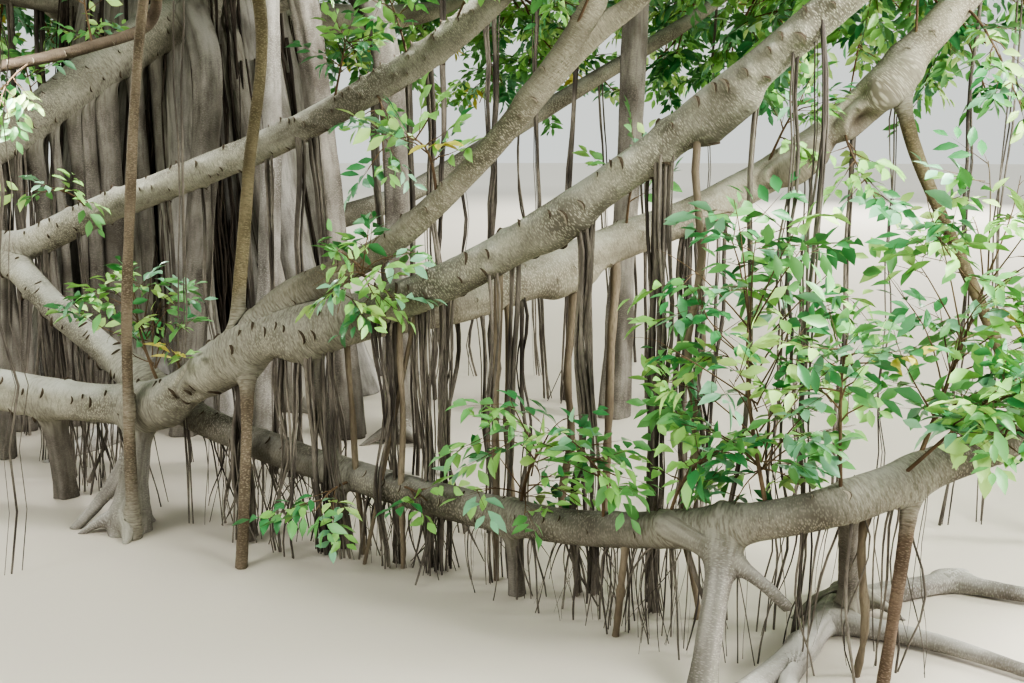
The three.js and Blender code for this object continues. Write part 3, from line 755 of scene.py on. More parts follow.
def neighbours(own, own_skin):
    """The limbs and knots near some limbs, apart from those that their own skin takes in."""
    every = [limb for limbs in (*LIMBS.values(), *KNOTS.values()) for limb in limbs]
    return [limb for limb in every if limb not in own_skin and meets(limb, own)]


print("blend over", SOFTNESS, "m")

# %% [markdown]
# The mesh keeps four values at each corner for the bark's material: the straightened coordinates, the
# darkness of a scar, how near the next limb is, and how far the surface faces up, where the bark is
# painted lighter as sunlit and as bleached by sun and rain. A UV map would need a seam along every limb,
# and these need none. Feet are cut flat at the ground and closed.

# %% Bark meshes
BARK_VALUES = {"bark": "FLOAT_VECTOR", "scar": "FLOAT", "joint": "FLOAT", "top": "FLOAT"}


def new_mesh(name, corners, edges=(), faces=()):
    mesh = bpy.data.meshes.new(name)
    mesh.from_pydata(np.asarray(corners, dtype=float).tolist(), edges, faces)
    return mesh


def keep_values(mesh, name, kind, values):
    """Stores a value at each corner of a mesh, for its material or for Geometry Nodes."""
    field = "vector" if kind == "FLOAT_VECTOR" else "value"
    stored = np.asarray(values, dtype=np.int32 if kind == "INT" else np.float32)
    mesh.attributes.new(name, kind, "POINT").data.foreach_set(field, stored.ravel())


@contextlib.contextmanager
def opened(mesh):
    """Opens a mesh for work on its parts, and writes the result back."""
    work = bmesh.new()
    work.from_mesh(mesh)
    yield work
    work.to_mesh(mesh)
    work.free()


def cut_at_ground(mesh):
    """Cuts a mesh flat at the ground and closes the feet."""
    with opened(mesh) as work:
        everything = work.verts[:] + work.edges[:] + work.faces[:]
        cut = bmesh.ops.bisect_plane(
            work, geom=everything, plane_co=(0, 0, 0), plane_no=(0, 0, -1), clear_outer=True, dist=1e-5
        )
        rim = [part for part in cut["geom_cut"] if isinstance(part, bmesh.types.BMEdge)]
        for sole in bmesh.ops.edgeloop_fill(work, edges=rim)["faces"]:
            sole.normal_update()
            if sole.normal.z > 0:
                sole.normal_flip()


def grow_bark(name, own, step):
    """One bark mesh for some limbs, blended with whatever limbs they meet."""
    corners, faces, straight, offset = [], [], [], 0
    for limb in own:
        places, quads, caps, coordinates = tube(limb, step)
        corners.append(places)
        straight.append(coordinates)
        faces += (quads + offset).tolist() + (caps + offset).tolist()
        offset += len(places)
    own_skin = own + KNOTS.get(name, [])
    spots, dark, joint = settle(np.vstack(corners), own_skin, neighbours(own, own_skin))
    mesh = new_mesh(name + "_bark", spots, [], faces)
    for value, rows in (("bark", np.vstack(straight)), ("scar", dark), ("joint", joint)):
        keep_values(mesh, value, BARK_VALUES[value], rows)
    if spots[:, 2].min() < 0:
        cut_at_ground(mesh)
    mesh.shade_smooth()
    mesh.update()
    normals = np.empty(3 * len(mesh.vertices), dtype=np.float32)
    mesh.vertex_normals.foreach_get("vector", normals)
    keep_values(mesh, "top", BARK_VALUES["top"], normals[2::3])
    print(name, len(mesh.polygons), "faces")
    return in_scene(mesh.name, mesh)


print("kept at each corner of the bark:", list(BARK_VALUES))


# %% [markdown]
# Grow the near boughs finely, since the eye is four metres away, and everything behind them coarser.
# The step is the size of a face in metres.

# %% Grow the boughs, props and trunk
FINE = 0.0085
NEARLY_FINE = 0.011
MIDDLE = 0.014
COARSE = 0.03
NEAREST = ("long_bough", "low_bough", "twin_bough", "rising_bough")
wood = {}
for limb_name in LIMBS:
    if limb_name in NEAREST:
        step = FINE
    elif limb_name in NEAR_BOUGHS or limb_name in PROPS:
        step = MIDDLE if limb_name.startswith("pillar") else NEARLY_FINE
    else:
        step = COARSE
    wood[limb_name] = grow_bark(limb_name, LIMBS[limb_name], step)
print(sum(len(piece.data.polygons) for piece in wood.values()), "faces of bark")

# %% [markdown]
# A leaf or twig that falls leaves a raised lip, with a crescent of shade under it. They are too fine for
# the bark mesh, so each is a small strip of faces of its own: a lip that rises from the bark, and an
# underside and an edge that runs out, both painted dark as the lip's shadow. The strips are laid on the
# same skin as the bark.

# %% Crescents on the bark
CRESCENT_STATIONS = 7
LIP_LENGTH = 0.012  # metres along the limb from the lip's foot to its crest
SHADOW_LENGTH = 0.005
WHOLE_SCAR = 0.03  # half width in metres of a scar whose strip has its full length
END_GAP = 0.05  # metres of each end of a limb without crescents
COVERED = 0.01  # metres from a neighbour's bark within which a strip is left out


def crescents(limb):
    """Corners, faces and painted shadow of the strips for all scars of a limb, on its even surface."""
    corners, faces, dark, lifts = [], [], [], []
    for place, turn, half_width, rise in limb.scars:
        if not END_GAP < place < limb.along[-1] - END_GAP:
            continue
        radius = np.interp(place, limb.along, limb.radius)
        size = min(1.6, half_width / WHOLE_SCAR)
        first = len(corners)
        for sideways in np.linspace(-1, 1, CRESCENT_STATIONS):
            fade = (1 - sideways**2) ** 0.5 if abs(sideways) < 1 else 0
            bow = -0.75 * half_width * sideways**2
            rows = ((-LIP_LENGTH, 0), (-0.15 * LIP_LENGTH, 1), (0.35 * SHADOW_LENGTH, 0.15), (SHADOW_LENGTH, 0))
            for shift, lift in rows:
                along = place + bow + shift * fade * size
                i = min(len(limb.centre) - 1, max(0, round(along / SAMPLE)))
                spare = along - limb.along[i]
                swing = turn + sideways * half_width / radius
                out = math.cos(swing) * limb.side[i] + math.sin(swing) * limb.up[i]
                corners.append(limb.centre[i] + spare * limb.ahead[i] + radius * out)
                lifts.append(0.0006 + 0.8 * rise * lift * fade)
        for k in range(CRESCENT_STATIONS - 1):
            for row in range(3):
                a = first + 4 * k + row
                faces.append((a, a + 1, a + 5, a + 4))
                # the faces past the crest are painted dark: painted shadow under the lip
                dark.append(row > 0)
    return np.array(corners), faces, dark, np.array(lifts)


def lay_crescents(name, limb_names, lip_material, shadow_material):
    """One piece of crescents for some limbs, settled on the skin and lifted off it."""
    corners, faces, dark = [], [], []
    scarred = [(limb_name, limb) for limb_name in limb_names for limb in LIMBS[limb_name] if limb.scars]
    for limb_name, limb in scarred:
        even, quads, darkness, lifts = crescents(limb)
        own_skin = [limb, *KNOTS.get(limb_name, [])]
        others = neighbours([limb], own_skin)
        hidden = skin(even, others)[0] < COVERED
        spots, _, _ = settle(even, own_skin, others)
        way = unit(even - limb.centre[limb.nearest_sample(even)])
        offset = sum(len(c) for c in corners)
        corners.append(spots + way * lifts[:, None])
        for quad, is_shadow in zip(quads, darkness):
            if not hidden[list(quad)].any():
                faces.append(tuple(offset + i for i in quad))
                dark.append(is_shadow)
    mesh = new_mesh(name, np.vstack(corners), [], faces)
    mesh.materials.append(lip_material)
    mesh.materials.append(shadow_material)
    mesh.polygons.foreach_set("material_index", np.array(dark, dtype=np.int32))
    with opened(mesh) as work:
        loose = [corner for corner in work.verts if not corner.link_faces]
        bmesh.ops.delete(work, geom=loose, context="VERTS")
    mesh.shade_smooth()
    print(name, len(mesh.polygons), "faces")
    return in_scene(name, mesh)


print("a crescent has", 3 * (CRESCENT_STATIONS - 1), "faces")

# %% [markdown]
# Fig bark is grey-tan with a close pattern of pale breathing pores in short rows across the limb. The
# pattern reads the straightened coordinates, stretched so that the rows run round the limb. Object
# coordinates would be simpler, but the rows would then lie level on a slanting bough. Scars are dark,
# and the upper side is painted lighter, as sunlit and as bleached by sun and rain.

# %% Bark materials


def paint(red, green, blue):
    """A linear colour from the 0 to 255 values of a colour picker."""
    return tuple((value / 255) ** 2.2 for value in (red, green, blue)) + (1.0,)


def feed(tree, node, inputs):
    """Gives some inputs of a node their values, or joins them to another node's sockets."""
    for key, value in inputs.items():
        if isinstance(value, bpy.types.NodeSocket):
            tree.links.new(value, node.inputs[key])
        else:
            node.inputs[key].default_value = value


def add_node(tree, kind, inputs=None, **settings):
    """Adds a node to a material's tree or to a tree of Geometry Nodes."""
    node = tree.nodes.new(kind)
    for key, value in settings.items():
        setattr(node, key, value)
    feed(tree, node, inputs or {})
    return node


class Nodes:
    """Short calls for building a material's nodes."""

    def __init__(self, name):
        self.material = bpy.data.materials.new(name)
        self.material.use_nodes = True
        self.tree = self.material.node_tree

    def add(self, kind, inputs=None, **settings):
        return add_node(self.tree, kind, inputs, **settings)

    def kept(self, name, output="Fac"):
        """A value that the mesh keeps at its corners."""
        return self.add("ShaderNodeAttribute", attribute_name=name).outputs[output]

    def stretched(self, source, scale):
        return self.add("ShaderNodeVectorMath", {0: source, 1: scale}, operation="MULTIPLY").outputs[0]

    def noise(self, source, scale, detail=3.0):
        inputs = {"Vector": self.stretched(source, scale), "Scale": 1.0, "Detail": detail}
        return self.add("ShaderNodeTexNoise", inputs).outputs[0]

    def ramp(self, value, low, high, start=0.0, end=1.0):
        inputs = {"Value": value, "From Min": low, "From Max": high, "To Min": start, "To Max": end}
        return self.add("ShaderNodeMapRange", inputs).outputs[0]

    def times(self, first, second):
        return self.add("ShaderNodeMath", {0: first, 1: second}, operation="MULTIPLY").outputs[0]

    def plus(self, first, second):
        return self.add("ShaderNodeMath", {0: first, 1: second}, operation="ADD").outputs[0]

    def blend(self, share, first, second):
        """A mix of two colours, whose sockets have numbers because their names are shared."""
        return self.add("ShaderNodeMix", {0: share, 6: first, 7: second}, data_type="RGBA").outputs[2]

    def finish(self, colour, roughness, shine=0.25, **more):
        """Gives the shader its colour, roughness and shine, and hands the material over."""
        look = {"Base Color": colour, "Roughness": roughness, "Specular IOR Level": shine, **more}
        feed(self.tree, self.tree.nodes["Principled BSDF"], look)
        return self.material


def plain_material(name, colour, roughness, shine=0.25):
    return Nodes(name).finish(colour, roughness, shine)


ACROSS = (150, 34, 34)  # a grain of short lines across the limb, in lines per metre
ALONG = (7, 60, 60)  # a grain of long lines, as on roots that have fused
PORES = (210, 90, 90)  # pale pores, in pores per metre
SPECKLES = (280, 220, 220)
BARK_RELIEF = 0.003  # metres
JOINT_LIGHT, JOINT_DARK = paint(150, 147, 134), paint(112, 108, 96)  # where two limbs meet
SCAR = paint(64, 54, 44)


def bark_material(name, base, shade, pore, sunlit_and_bleached, pore_share, grain):
    """Bark with mottling, a grain, rows of pale pores, scars and an upper side painted lighter as sunlit
    and bleached.
    """
    nodes = Nodes(name)
    place = nodes.kept("bark", "Vector")
    mottle = nodes.noise(place, (4, 8, 8), 5.0)
    bands = nodes.noise(place, grain, 4.0)
    speckle = nodes.noise(place, SPECKLES, 2.0)
    colour = nodes.blend(nodes.ramp(mottle, 0.36, 0.62), shade, base)
    colour = nodes.blend(nodes.ramp(bands, 0.48, 0.7, 0.0, 0.55), colour, shade)
    colour = nodes.blend(nodes.ramp(speckle, 0.5, 0.75, 0.0, 0.4), colour, shade)
    cell = nodes.add("ShaderNodeTexVoronoi", {"Vector": nodes.stretched(place, PORES), "Scale": 1.0})
    patches = nodes.ramp(nodes.noise(place, (2.4, 5, 5), 3.0), 0.42, 0.6, 0.3, 1.0)
    pores = nodes.times(nodes.ramp(cell.outputs["Distance"], 0.5, 0.25), nodes.times(patches, pore_share))
    colour = nodes.blend(pores, colour, pore)
    # the upward-facing side is painted lighter: painted sunlight, with some bleaching of the bark by sun
    # and rain
    sun_and_bleach = nodes.times(nodes.ramp(nodes.kept("top"), 0.2, 0.95), nodes.ramp(mottle, 0.35, 0.6, 0.1, 0.75))
    colour = nodes.blend(sun_and_bleach, colour, sunlit_and_bleached)
    common = nodes.blend(nodes.ramp(bands, 0.4, 0.65), JOINT_LIGHT, JOINT_DARK)
    colour = nodes.blend(nodes.ramp(nodes.kept("joint"), 0.15, 0.95, 0.0, 0.9), colour, common)
    colour = nodes.blend(nodes.times(nodes.kept("scar"), 0.9), colour, SCAR)
    height = nodes.plus(nodes.times(bands, -0.8), nodes.times(pores, 0.6))
    relief = nodes.add("ShaderNodeBump", {"Strength": 0.9, "Distance": BARK_RELIEF, "Height": height})
    return nodes.finish(colour, 0.85, Normal=relief.outputs[0])


# base, shade, pores, upper side painted sunlit and bleached, share of pores, grain
BARK_ROWS = {
    "bough_bark": ((154, 151, 136), (102, 98, 87), (192, 188, 168), (164, 164, 156), 0.6, ACROSS),
    "trunk_bark": ((156, 152, 145), (104, 100, 94), (184, 180, 171), (188, 185, 179), 0.25, ALONG),
    "pale_bark": ((150, 146, 138), (104, 99, 92), (190, 186, 178), (178, 175, 168), 0.4, ALONG),
    "root_bark": ((134, 129, 120), (86, 81, 74), (168, 162, 150), (162, 158, 149), 0.3, ALONG),
    "brown_bark": ((138, 133, 117), (92, 88, 75), (176, 170, 150), (148, 146, 135), 0.5, ACROSS),
    "rusty_bark": ((116, 100, 85), (80, 68, 57), (156, 141, 122), (134, 119, 102), 0.4, ACROSS),
    "stem_bark": ((130, 118, 101), (90, 80, 67), (162, 151, 131), (140, 130, 113), 0.5, ACROSS),
    "olive_bark": ((116, 107, 85), (80, 73, 56), (146, 137, 112), (124, 117, 94), 0.4, ACROSS),
    # the trunk's core is painted near black: painted shade in the deep gaps of the trunk
    "core_bark": ((40, 36, 32), (20, 18, 16), (56, 51, 45), (50, 46, 40), 0.2, ALONG),
    "pale_bough_bark": ((164, 158, 142), (112, 106, 93), (200, 194, 176), (178, 175, 164), 0.5, ACROSS),
    "grey_bark": ((130, 126, 118), (92, 88, 80), (176, 171, 162), (150, 147, 140), 0.5, ALONG),
    "shade_bark": ((130, 126, 114), (88, 84, 74), (168, 162, 146), (138, 136, 128), 0.6, ACROSS),
    "grey_stem_bark": ((98, 88, 76), (68, 60, 51), (124, 113, 98), (110, 100, 87), 0.4, ACROSS),
}
BARKS = {}
for bark_name, (*colours, pore_share, grain) in BARK_ROWS.items():
    BARKS[bark_name] = bark_material(bark_name, *(paint(*colour) for colour in colours), pore_share, grain)
BARK_OF = {
    "prop_front": "pale_bark",
    # this prop takes a darker copy of the pale bark: painted shade
    "prop_light": "grey_bark",
    "pillar_bright": "pale_bark",
    "ground_runner": "pale_bark",
    "rising_bough": "brown_bark",
    # the twin bough takes a paler copy of the bough bark: painted light, for the bright light it stands in
    "twin_bough": "pale_bough_bark",
    "prop_brown": "rusty_bark",
    "prop_fork": "stem_bark",
    "thin_left_bough": "grey_stem_bark",
    # the low bough takes a darker copy of the bough bark: painted shade under the leaves, and a dirtier
    # tone near the ground
    "low_bough": "shade_bark",
    "knot_root": "olive_bark",
    "slim_stem_left": "stem_bark",
    "slim_stem_mid": "olive_bark",
    "trunk": "trunk_bark",
    "trunk_core": "core_bark",
}
for limb_name, piece in wood.items():
    usual = "root_bark" if limb_name in PROPS or limb_name == "trunk_slim" else "bough_bark"
    piece.data.materials.append(BARKS[BARK_OF.get(limb_name, usual)])
print(len(BARKS), "kinds of bark")

scar_lip = plain_material("scar_lip", paint(148, 141, 125), 0.85)
# a dark colour painted as the shadow under each scar's lip
scar_dark = plain_material("scar_dark", paint(80, 71, 60), 0.9)
bark_crescents = lay_crescents("bark_crescents", NEAR_BOUGHS, scar_lip, scar_dark)

# %% [markdown]
# Thin aerial roots hang by the hundred: straight strings of one or two centimetres, dark brown, in
# loose bundles under each bough and in the gaps of the trunk. Each is only a path here, with a
# thickness at every point. A Geometry Nodes tree turns all paths of a piece into tubes at once.

# %% A node tree that turns paths into tubes


def new_tree(name, inputs):
    """An empty Geometry Nodes tree with a geometry in and out and some named inputs."""
    tree = bpy.data.node_groups.new(name, "GeometryNodeTree")
    tree.interface.new_socket(name="Geometry", in_out="INPUT", socket_type="NodeSocketGeometry")
    sockets = {}
    for label, (kind, value) in inputs.items():
        socket = tree.interface.new_socket(name=label, in_out="INPUT", socket_type=kind)
        if value is not None:
            socket.default_value = value
        sockets[label] = socket.identifier
    tree.interface.new_socket(name="Geometry", in_out="OUTPUT", socket_type="NodeSocketGeometry")
    return tree, sockets


def named_value(tree, name, kind="FLOAT"):
    node = add_node(tree, "GeometryNodeInputNamedAttribute", {"Name": name}, data_type=kind)
    return node.outputs["Attribute"]


def passed_on(tree, flow, kind, inputs=None):
    """Adds a node that works on a geometry, and gives the geometry that comes out."""
    return add_node(tree, kind, {"Geometry": flow, **(inputs or {})}).outputs["Geometry"]


path_tree, path_inputs = new_tree(
    "paths_to_tubes", {"Sides": ("NodeSocketInt", 5), "Material": ("NodeSocketMaterial", None)}
)
path_in = add_node(path_tree, "NodeGroupInput").outputs
curves = add_node(path_tree, "GeometryNodeMeshToCurve", {"Mesh": path_in["Geometry"]})
profile = add_node(
    path_tree, "GeometryNodeCurvePrimitiveCircle", {"Resolution": path_in["Sides"], "Radius": 1.0}
)
tubes = add_node(
    path_tree,
    "GeometryNodeCurveToMesh",
    {
        "Curve": curves.outputs["Curve"],
        "Profile Curve": profile.outputs["Curve"],
        "Scale": named_value(path_tree, "thickness"),
        "Fill Caps": True,
    },
)
path_flow = passed_on(path_tree, tubes.outputs["Mesh"], "GeometryNodeSetShadeSmooth")
path_flow = passed_on(path_tree, path_flow, "GeometryNodeRealizeInstances")
path_flow = passed_on(path_tree, path_flow, "GeometryNodeSetMaterial", {"Material": path_in["Material"]})
add_node(path_tree, "NodeGroupOutput", {"Geometry": path_flow})


def made_by(piece, tree, sockets, inputs):
    """Runs a node tree on a piece's paths or points, and makes the result its plain mesh."""
    modifier = piece.modifiers.new(tree.name, "NODES")
    modifier.node_group = tree
    for label, value in inputs.items():
        modifier[sockets[label]] = value
    reader = bpy.context.evaluated_depsgraph_get()
    mesh = bpy.data.meshes.new_from_object(piece.evaluated_get(reader))
    piece.modifiers.clear()
    piece.data = mesh
    mesh.name = piece.name
    print(piece.name, len(mesh.polygons), "faces")
    return piece


def tubes_along(name, paths, material, sides=5):
    """One piece of tubes along many paths, each a pair of places and thicknesses."""
    edges, offset = [], 0
    for path, _ in paths:
        edges += [(offset + i, offset + i + 1) for i in range(len(path) - 1)]
        offset += len(path)
    mesh = new_mesh(name, np.vstack([path for path, _ in paths]), edges)
    keep_values(mesh, "thickness", "FLOAT", np.concatenate([thickness for _, thickness in paths]))
    return made_by(in_scene(name, mesh), path_tree, path_inputs, {"Sides": sides, "Material": material})


print("a tree of", len(path_tree.nodes), "nodes turns paths into tubes")

# %% [markdown]
# The places of the hanging roots follow what the boughs carry. An even scatter would look combed,
# because real ones fall in bundles with gaps between. Each row below names a bough, the stretch of it
# in metres along x, how many bundles hang there and how thick their roots are. A root starts inside the
# underside of its bough, falls with a slow sway and ends just over the ground. The single roots are
# thick enough to stand, so they run into the ground and are cut flat there.

# %% Hanging roots
roots = np.random.default_rng(2024)
GROUND_GAP = 0.007  # metres from the ground to the tip of a hanging root
FORKING = 0.0055  # metres of thickness from which a root forks near the ground


def fall(top, foot_height, drift, thickness, segments=14, wander=0.012):
    """The path of one hanging root from a bough down to a height."""
    share = np.linspace(0, 1, segments)[:, None]
    foot = top + np.array([*(roots.normal(0, drift, 2)), 0])
    foot[2] = foot_height
    path = top + (foot - top) * share
    length = top[2] - foot_height
    for axis in range(2):
        wave = sum(
            roots.normal(0, wander) * np.sin(share[:, 0] * length * pull + roots.uniform(0, 6.3))
            for pull in (2.2, 5.1, 11.0)
        )
        path[:, axis] += wave * np.sin(share[:, 0] * math.pi * 0.5) ** 0.5
    taper = 1 - 0.25 * share[:, 0] if foot_height < 0.05 else 1 - 0.75 * share[:, 0]
    knobs = 1 + 0.12 * roots.normal(0, 1, segments)
    return path, thickness * taper * np.clip(knobs, 0.7, 1.4)


def under_bough(limb, from_x, to_x):
    """A random place just inside the underside of a limb, between two values of x."""
    inside = np.flatnonzero((limb.centre[:, 0] >= from_x) & (limb.centre[:, 0] <= to_x))
    i = roots.choice(inside)
    turn = roots.uniform(-0.9, 0.9)
    flat = unit(np.cross(limb.ahead[i], (0, 0, 1)))
    out = math.sin(turn) * flat - math.cos(turn) * np.array([0, 0, 1])
    return limb.centre[i] + 0.85 * limb.radius[i] * out


def bundle(top, number, radius, drift):
    """Some roots that fall side by side from one place. Thick ones fork near the ground."""
    lead, _ = fall(top, GROUND_GAP, drift, radius)
    share = np.linspace(0, 1, len(lead))[:, None]
    paths = []
    for _ in range(number):
        apart = roots.normal(0, 0.013, (3, 2))
        path = lead.copy()
        wave = 0.3 * np.sin(5 * share * math.pi)
        path[:, :2] += apart[0] * (1 - share) + apart[1] * share + apart[2] * wave
        thick = 0.62 * radius * np.clip(roots.lognormal(0, 0.55), 0.35, 2.4)
        knobs = np.clip(1 + 0.1 * roots.normal(0, 1, len(path)), 0.75, 1.3)
        paths.append((path, thick * knobs * (1.05 - 0.2 * share[:, 0])))
        for _ in range(roots.choice((0, 1, 2)) if thick > FORKING else 0):
            height = roots.uniform(0.08, 0.4)
            fork = int(np.abs(path[:, 2] - height).argmin())
            paths.append(fall(path[fork], GROUND_GAP, 0.035, 0.45 * thick, 5, 0.003))
    return paths


# bough, from x, to x, how many bundles, roots in each, radius, how far feet drift
HANGING = [
    ("long_bough", 0.9, 0.98, 3, 7, 0.0065, 0.012),
    ("long_bough", 1.1, 1.24, 2, 3, 0.005, 0.02),
    ("long_bough", 1.24, 1.45, 3, 5, 0.0065, 0.025),
    ("long_bough", 1.45, 1.7, 4, 4, 0.0065, 0.025),
    ("long_bough", 1.7, 2.05, 5, 3, 0.0055, 0.025),
    ("long_bough", 2.2, 2.26, 2, 5, 0.0075, 0.012),
    ("long_bough", 2.42, 2.48, 2, 6, 0.0075, 0.012),
    ("long_bough", 2.6, 3.1, 4, 2, 0.004, 0.03),
    ("twin_bough", 1.7, 2.1, 3, 3, 0.006, 0.03),
    ("twin_bough", 2.3, 2.34, 1, 5, 0.0075, 0.012),
    ("twin_bough", 2.5, 2.8, 3, 4, 0.007, 0.025),
    ("twin_bough", 2.8, 3.3, 3, 2, 0.006, 0.03),
    ("twin_bough", 3.3, 3.9, 4, 2, 0.005, 0.03),
    ("upper_bough", -0.4, 0.7, 6, 3, 0.006, 0.04),
    ("upper_bough", 0.7, 1.7, 8, 4, 0.007, 0.04),
    ("left_bough", -1.5, -0.4, 5, 3, 0.006, 0.04),
    ("left_bough", -1.0, -0.5, 7, 4, 0.01, 0.03),
    ("left_high_bough", -1.7, -0.5, 9, 5, 0.009, 0.05),
    ("right_bough", 1.3, 3.6, 6, 3, 0.009, 0.06),
    ("far_right_bough", 1.2, 3.5, 6, 3, 0.006, 0.06),
    ("front_bough", 0.3, 0.8, 3, 2, 0.004, 0.06),
]
hanging_paths = []
for bough_name, from_x, to_x, bundles, number, radius, drift in HANGING:
    for _ in range(bundles):
        top = under_bough(LIMBS[bough_name][0], from_x, to_x)
        hanging_paths += bundle(top, round(1.4 * number), radius, drift)
# single stems, thicker and paler than the bundles: bough, x, radius
SINGLE = (
    ("twin_bough", 2.25, 0.02),
    ("twin_bough", 2.41, 0.021),
    ("twin_bough", 1.96, 0.016),
    ("twin_bough", 2.78, 0.013),
    ("long_bough", 1.62, 0.013),
    ("long_bough", 1.94, 0.015),
    ("long_bough", 2.58, 0.013),
    ("long_bough", 1.39, 0.012),
    ("low_bough", 2.36, 0.014),
    ("low_bough", 3.01, 0.0135),
)
single_paths = []
for bough_name, x, radius in SINGLE:
    top = under_bough(LIMBS[bough_name][0], x - 0.012, x + 0.012)
    single_paths.append(fall(top, -FOOT_DEPTH, 0.02, radius, 14, 0.008))
lean_top, lean_foot = np.array([1.66, -3.14, 0.93]), np.array([1.45, -3.1, -0.03])
lean_share = np.linspace(0, 1, 8)[:, None]
single_paths.append((lean_top + (lean_foot - lean_top) * lean_share, np.linspace(0.0085, 0.007, 8)))
print(len(hanging_paths), "roots hang from boughs")

# %% [markdown]
# Under the low bough the roots are too short to have sorted themselves out: a mat of rootlets, thin as
# wire, fills the hand's breadth to the ground. In the trunk's gaps long thin roots stand side by side.
# All follow the rule of the longer roots, the rootlets with fewer points, because so short a root shows
# few bends.

# %% Rootlets and the strings in the trunk's gaps
rootlet_paths = []
MATS = (
    # from x, to x, how many, radius
    (0.75, 1.3, 70, 0.0024),
    (1.3, 1.75, 60, 0.0022),
    (1.75, 2.15, 24, 0.0024),
    (2.15, 2.56, 80, 0.0019),
    (2.6, 3.2, 30, 0.0026),
)
for from_x, to_x, number, radius in MATS:
    for _ in range(number):
        top = under_bough(LIMBS["low_bough"][0], from_x, to_x)
        short_of_ground = roots.uniform(0.02, 0.16) if roots.random() < 0.35 else GROUND_GAP
        thick = radius * roots.lognormal(0, 0.5)
        rootlet_paths.append(fall(top, short_of_ground, roots.choice((0.015, 0.06)), thick, 8, 0.016))
for _ in range(60):
    top = under_bough(LIMBS["low_bough_root"][0], -0.2, 0.45)
    rootlet_paths.append(fall(top, GROUND_GAP, 0.04, 0.0036 * roots.lognormal(0, 0.4), 9, 0.012))

STRINGS = 330
STRING_RING = 0.72  # of the reach of the trunk's feet
string_paths = []
for _ in range(STRINGS):
    turn = roots.uniform(math.radians(-175), math.radians(20))
    reach = roots.uniform(0.62, 0.98)
    top_height = roots.uniform(1.6, FORK_HEIGHT)
    top = np.array([
        FOOT_REACH[0] * STRING_RING * reach * math.cos(turn),
        FOOT_REACH[1] * STRING_RING * reach * math.sin(turn),
        top_height,
    ])
    path, thickness = fall(top, GROUND_GAP, 0.03, 0.0065 * roots.uniform(0.5, 1.6), 14, 0.01)
    spread = 1 + 0.35 * (1 - path[:, 2] / top_height)
    path[:, :2] *= spread[:, None]
    string_paths.append((path, thickness))
print(len(rootlet_paths), "rootlets and", len(string_paths), "strings")

# %% [markdown]
# Their bark is a plain dark brown with a fine grain along the root, paler on some stretches. It reads
# Object coordinates, squeezed along the height so that the grain stands upright.

# %% Root material and pieces


def string_material(name, dark, light):
    nodes = Nodes(name)
    place = nodes.add("ShaderNodeTexCoord").outputs["Object"]
    patches = nodes.noise(place, (9, 9, 3), 3.0)
    grain = nodes.noise(place, (160, 160, 40), 2.0)
    colour = nodes.blend(nodes.ramp(patches, 0.35, 0.65), dark, light)
    colour = nodes.blend(nodes.ramp(grain, 0.45, 0.7, 0.0, 0.5), colour, dark)
    return nodes.finish(colour, 0.85)


string_brown = string_material("string_brown", paint(72, 67, 62), paint(132, 125, 114))
string_tan = string_material("string_tan", paint(98, 88, 75), paint(140, 129, 111))
# the strings in the trunk's gaps take a darker copy of the root bark: painted shade of the gaps
string_dark = string_material("string_dark", paint(46, 41, 37), paint(88, 80, 71))
hanging_roots = tubes_along("hanging_roots", hanging_paths, string_brown, 6)
single_roots = tubes_along("single_roots", single_paths, string_tan, 10)
cut_at_ground(single_roots.data)
rootlets = tubes_along("rootlets", rootlet_paths, string_brown, 4)
trunk_strings = tubes_along("trunk_strings", string_paths, string_dark, 5)

# %% [markdown]
# Foliage grows by the frame's rule. From the tip of its bough a stem runs into an egg-shaped space.
# Branches leave the stem for evenly spread points near the edge, twigs leave the branches, and sprays
# of leaves sit along the twigs. A spray that would leave the space, sink into the ground or touch a
# limb is skipped.

# %% Spaces for the masses of leaves
CROWN_SPRAY = 0.2  # length of a spray in the crown
NEAR_SPRAY = 0.13
RINGS = {
    "outer": (RING_REACH, 3.75, (1.95, 1.95, 1.5)),
    "skirt": (RING_REACH, 3.4, (1.95, 1.95, 1.8)),
    "top": (TOP_REACH, 5.7, (2.25, 2.25, 1.9)),
}


def tip_of(limb_name):
    return LIMBS[limb_name][0].centre[-1]


def crown_mass(limb_name, azimuth, ring):
    reach, height, half = RINGS[ring]
    return dict(start=tip_of(limb_name), centre=on_circle(CROWN_X, azimuth, reach, height), half=half,
                stem=0.042, branches=44, twigs=7, sprays=5, spray=CROWN_SPRAY)


def shoot(start, centre, half, branches, twigs):
    return dict(start=start, centre=centre, half=half, stem=0.0075, branches=branches, twigs=twigs,
                sprays=2, spray=NEAR_SPRAY)


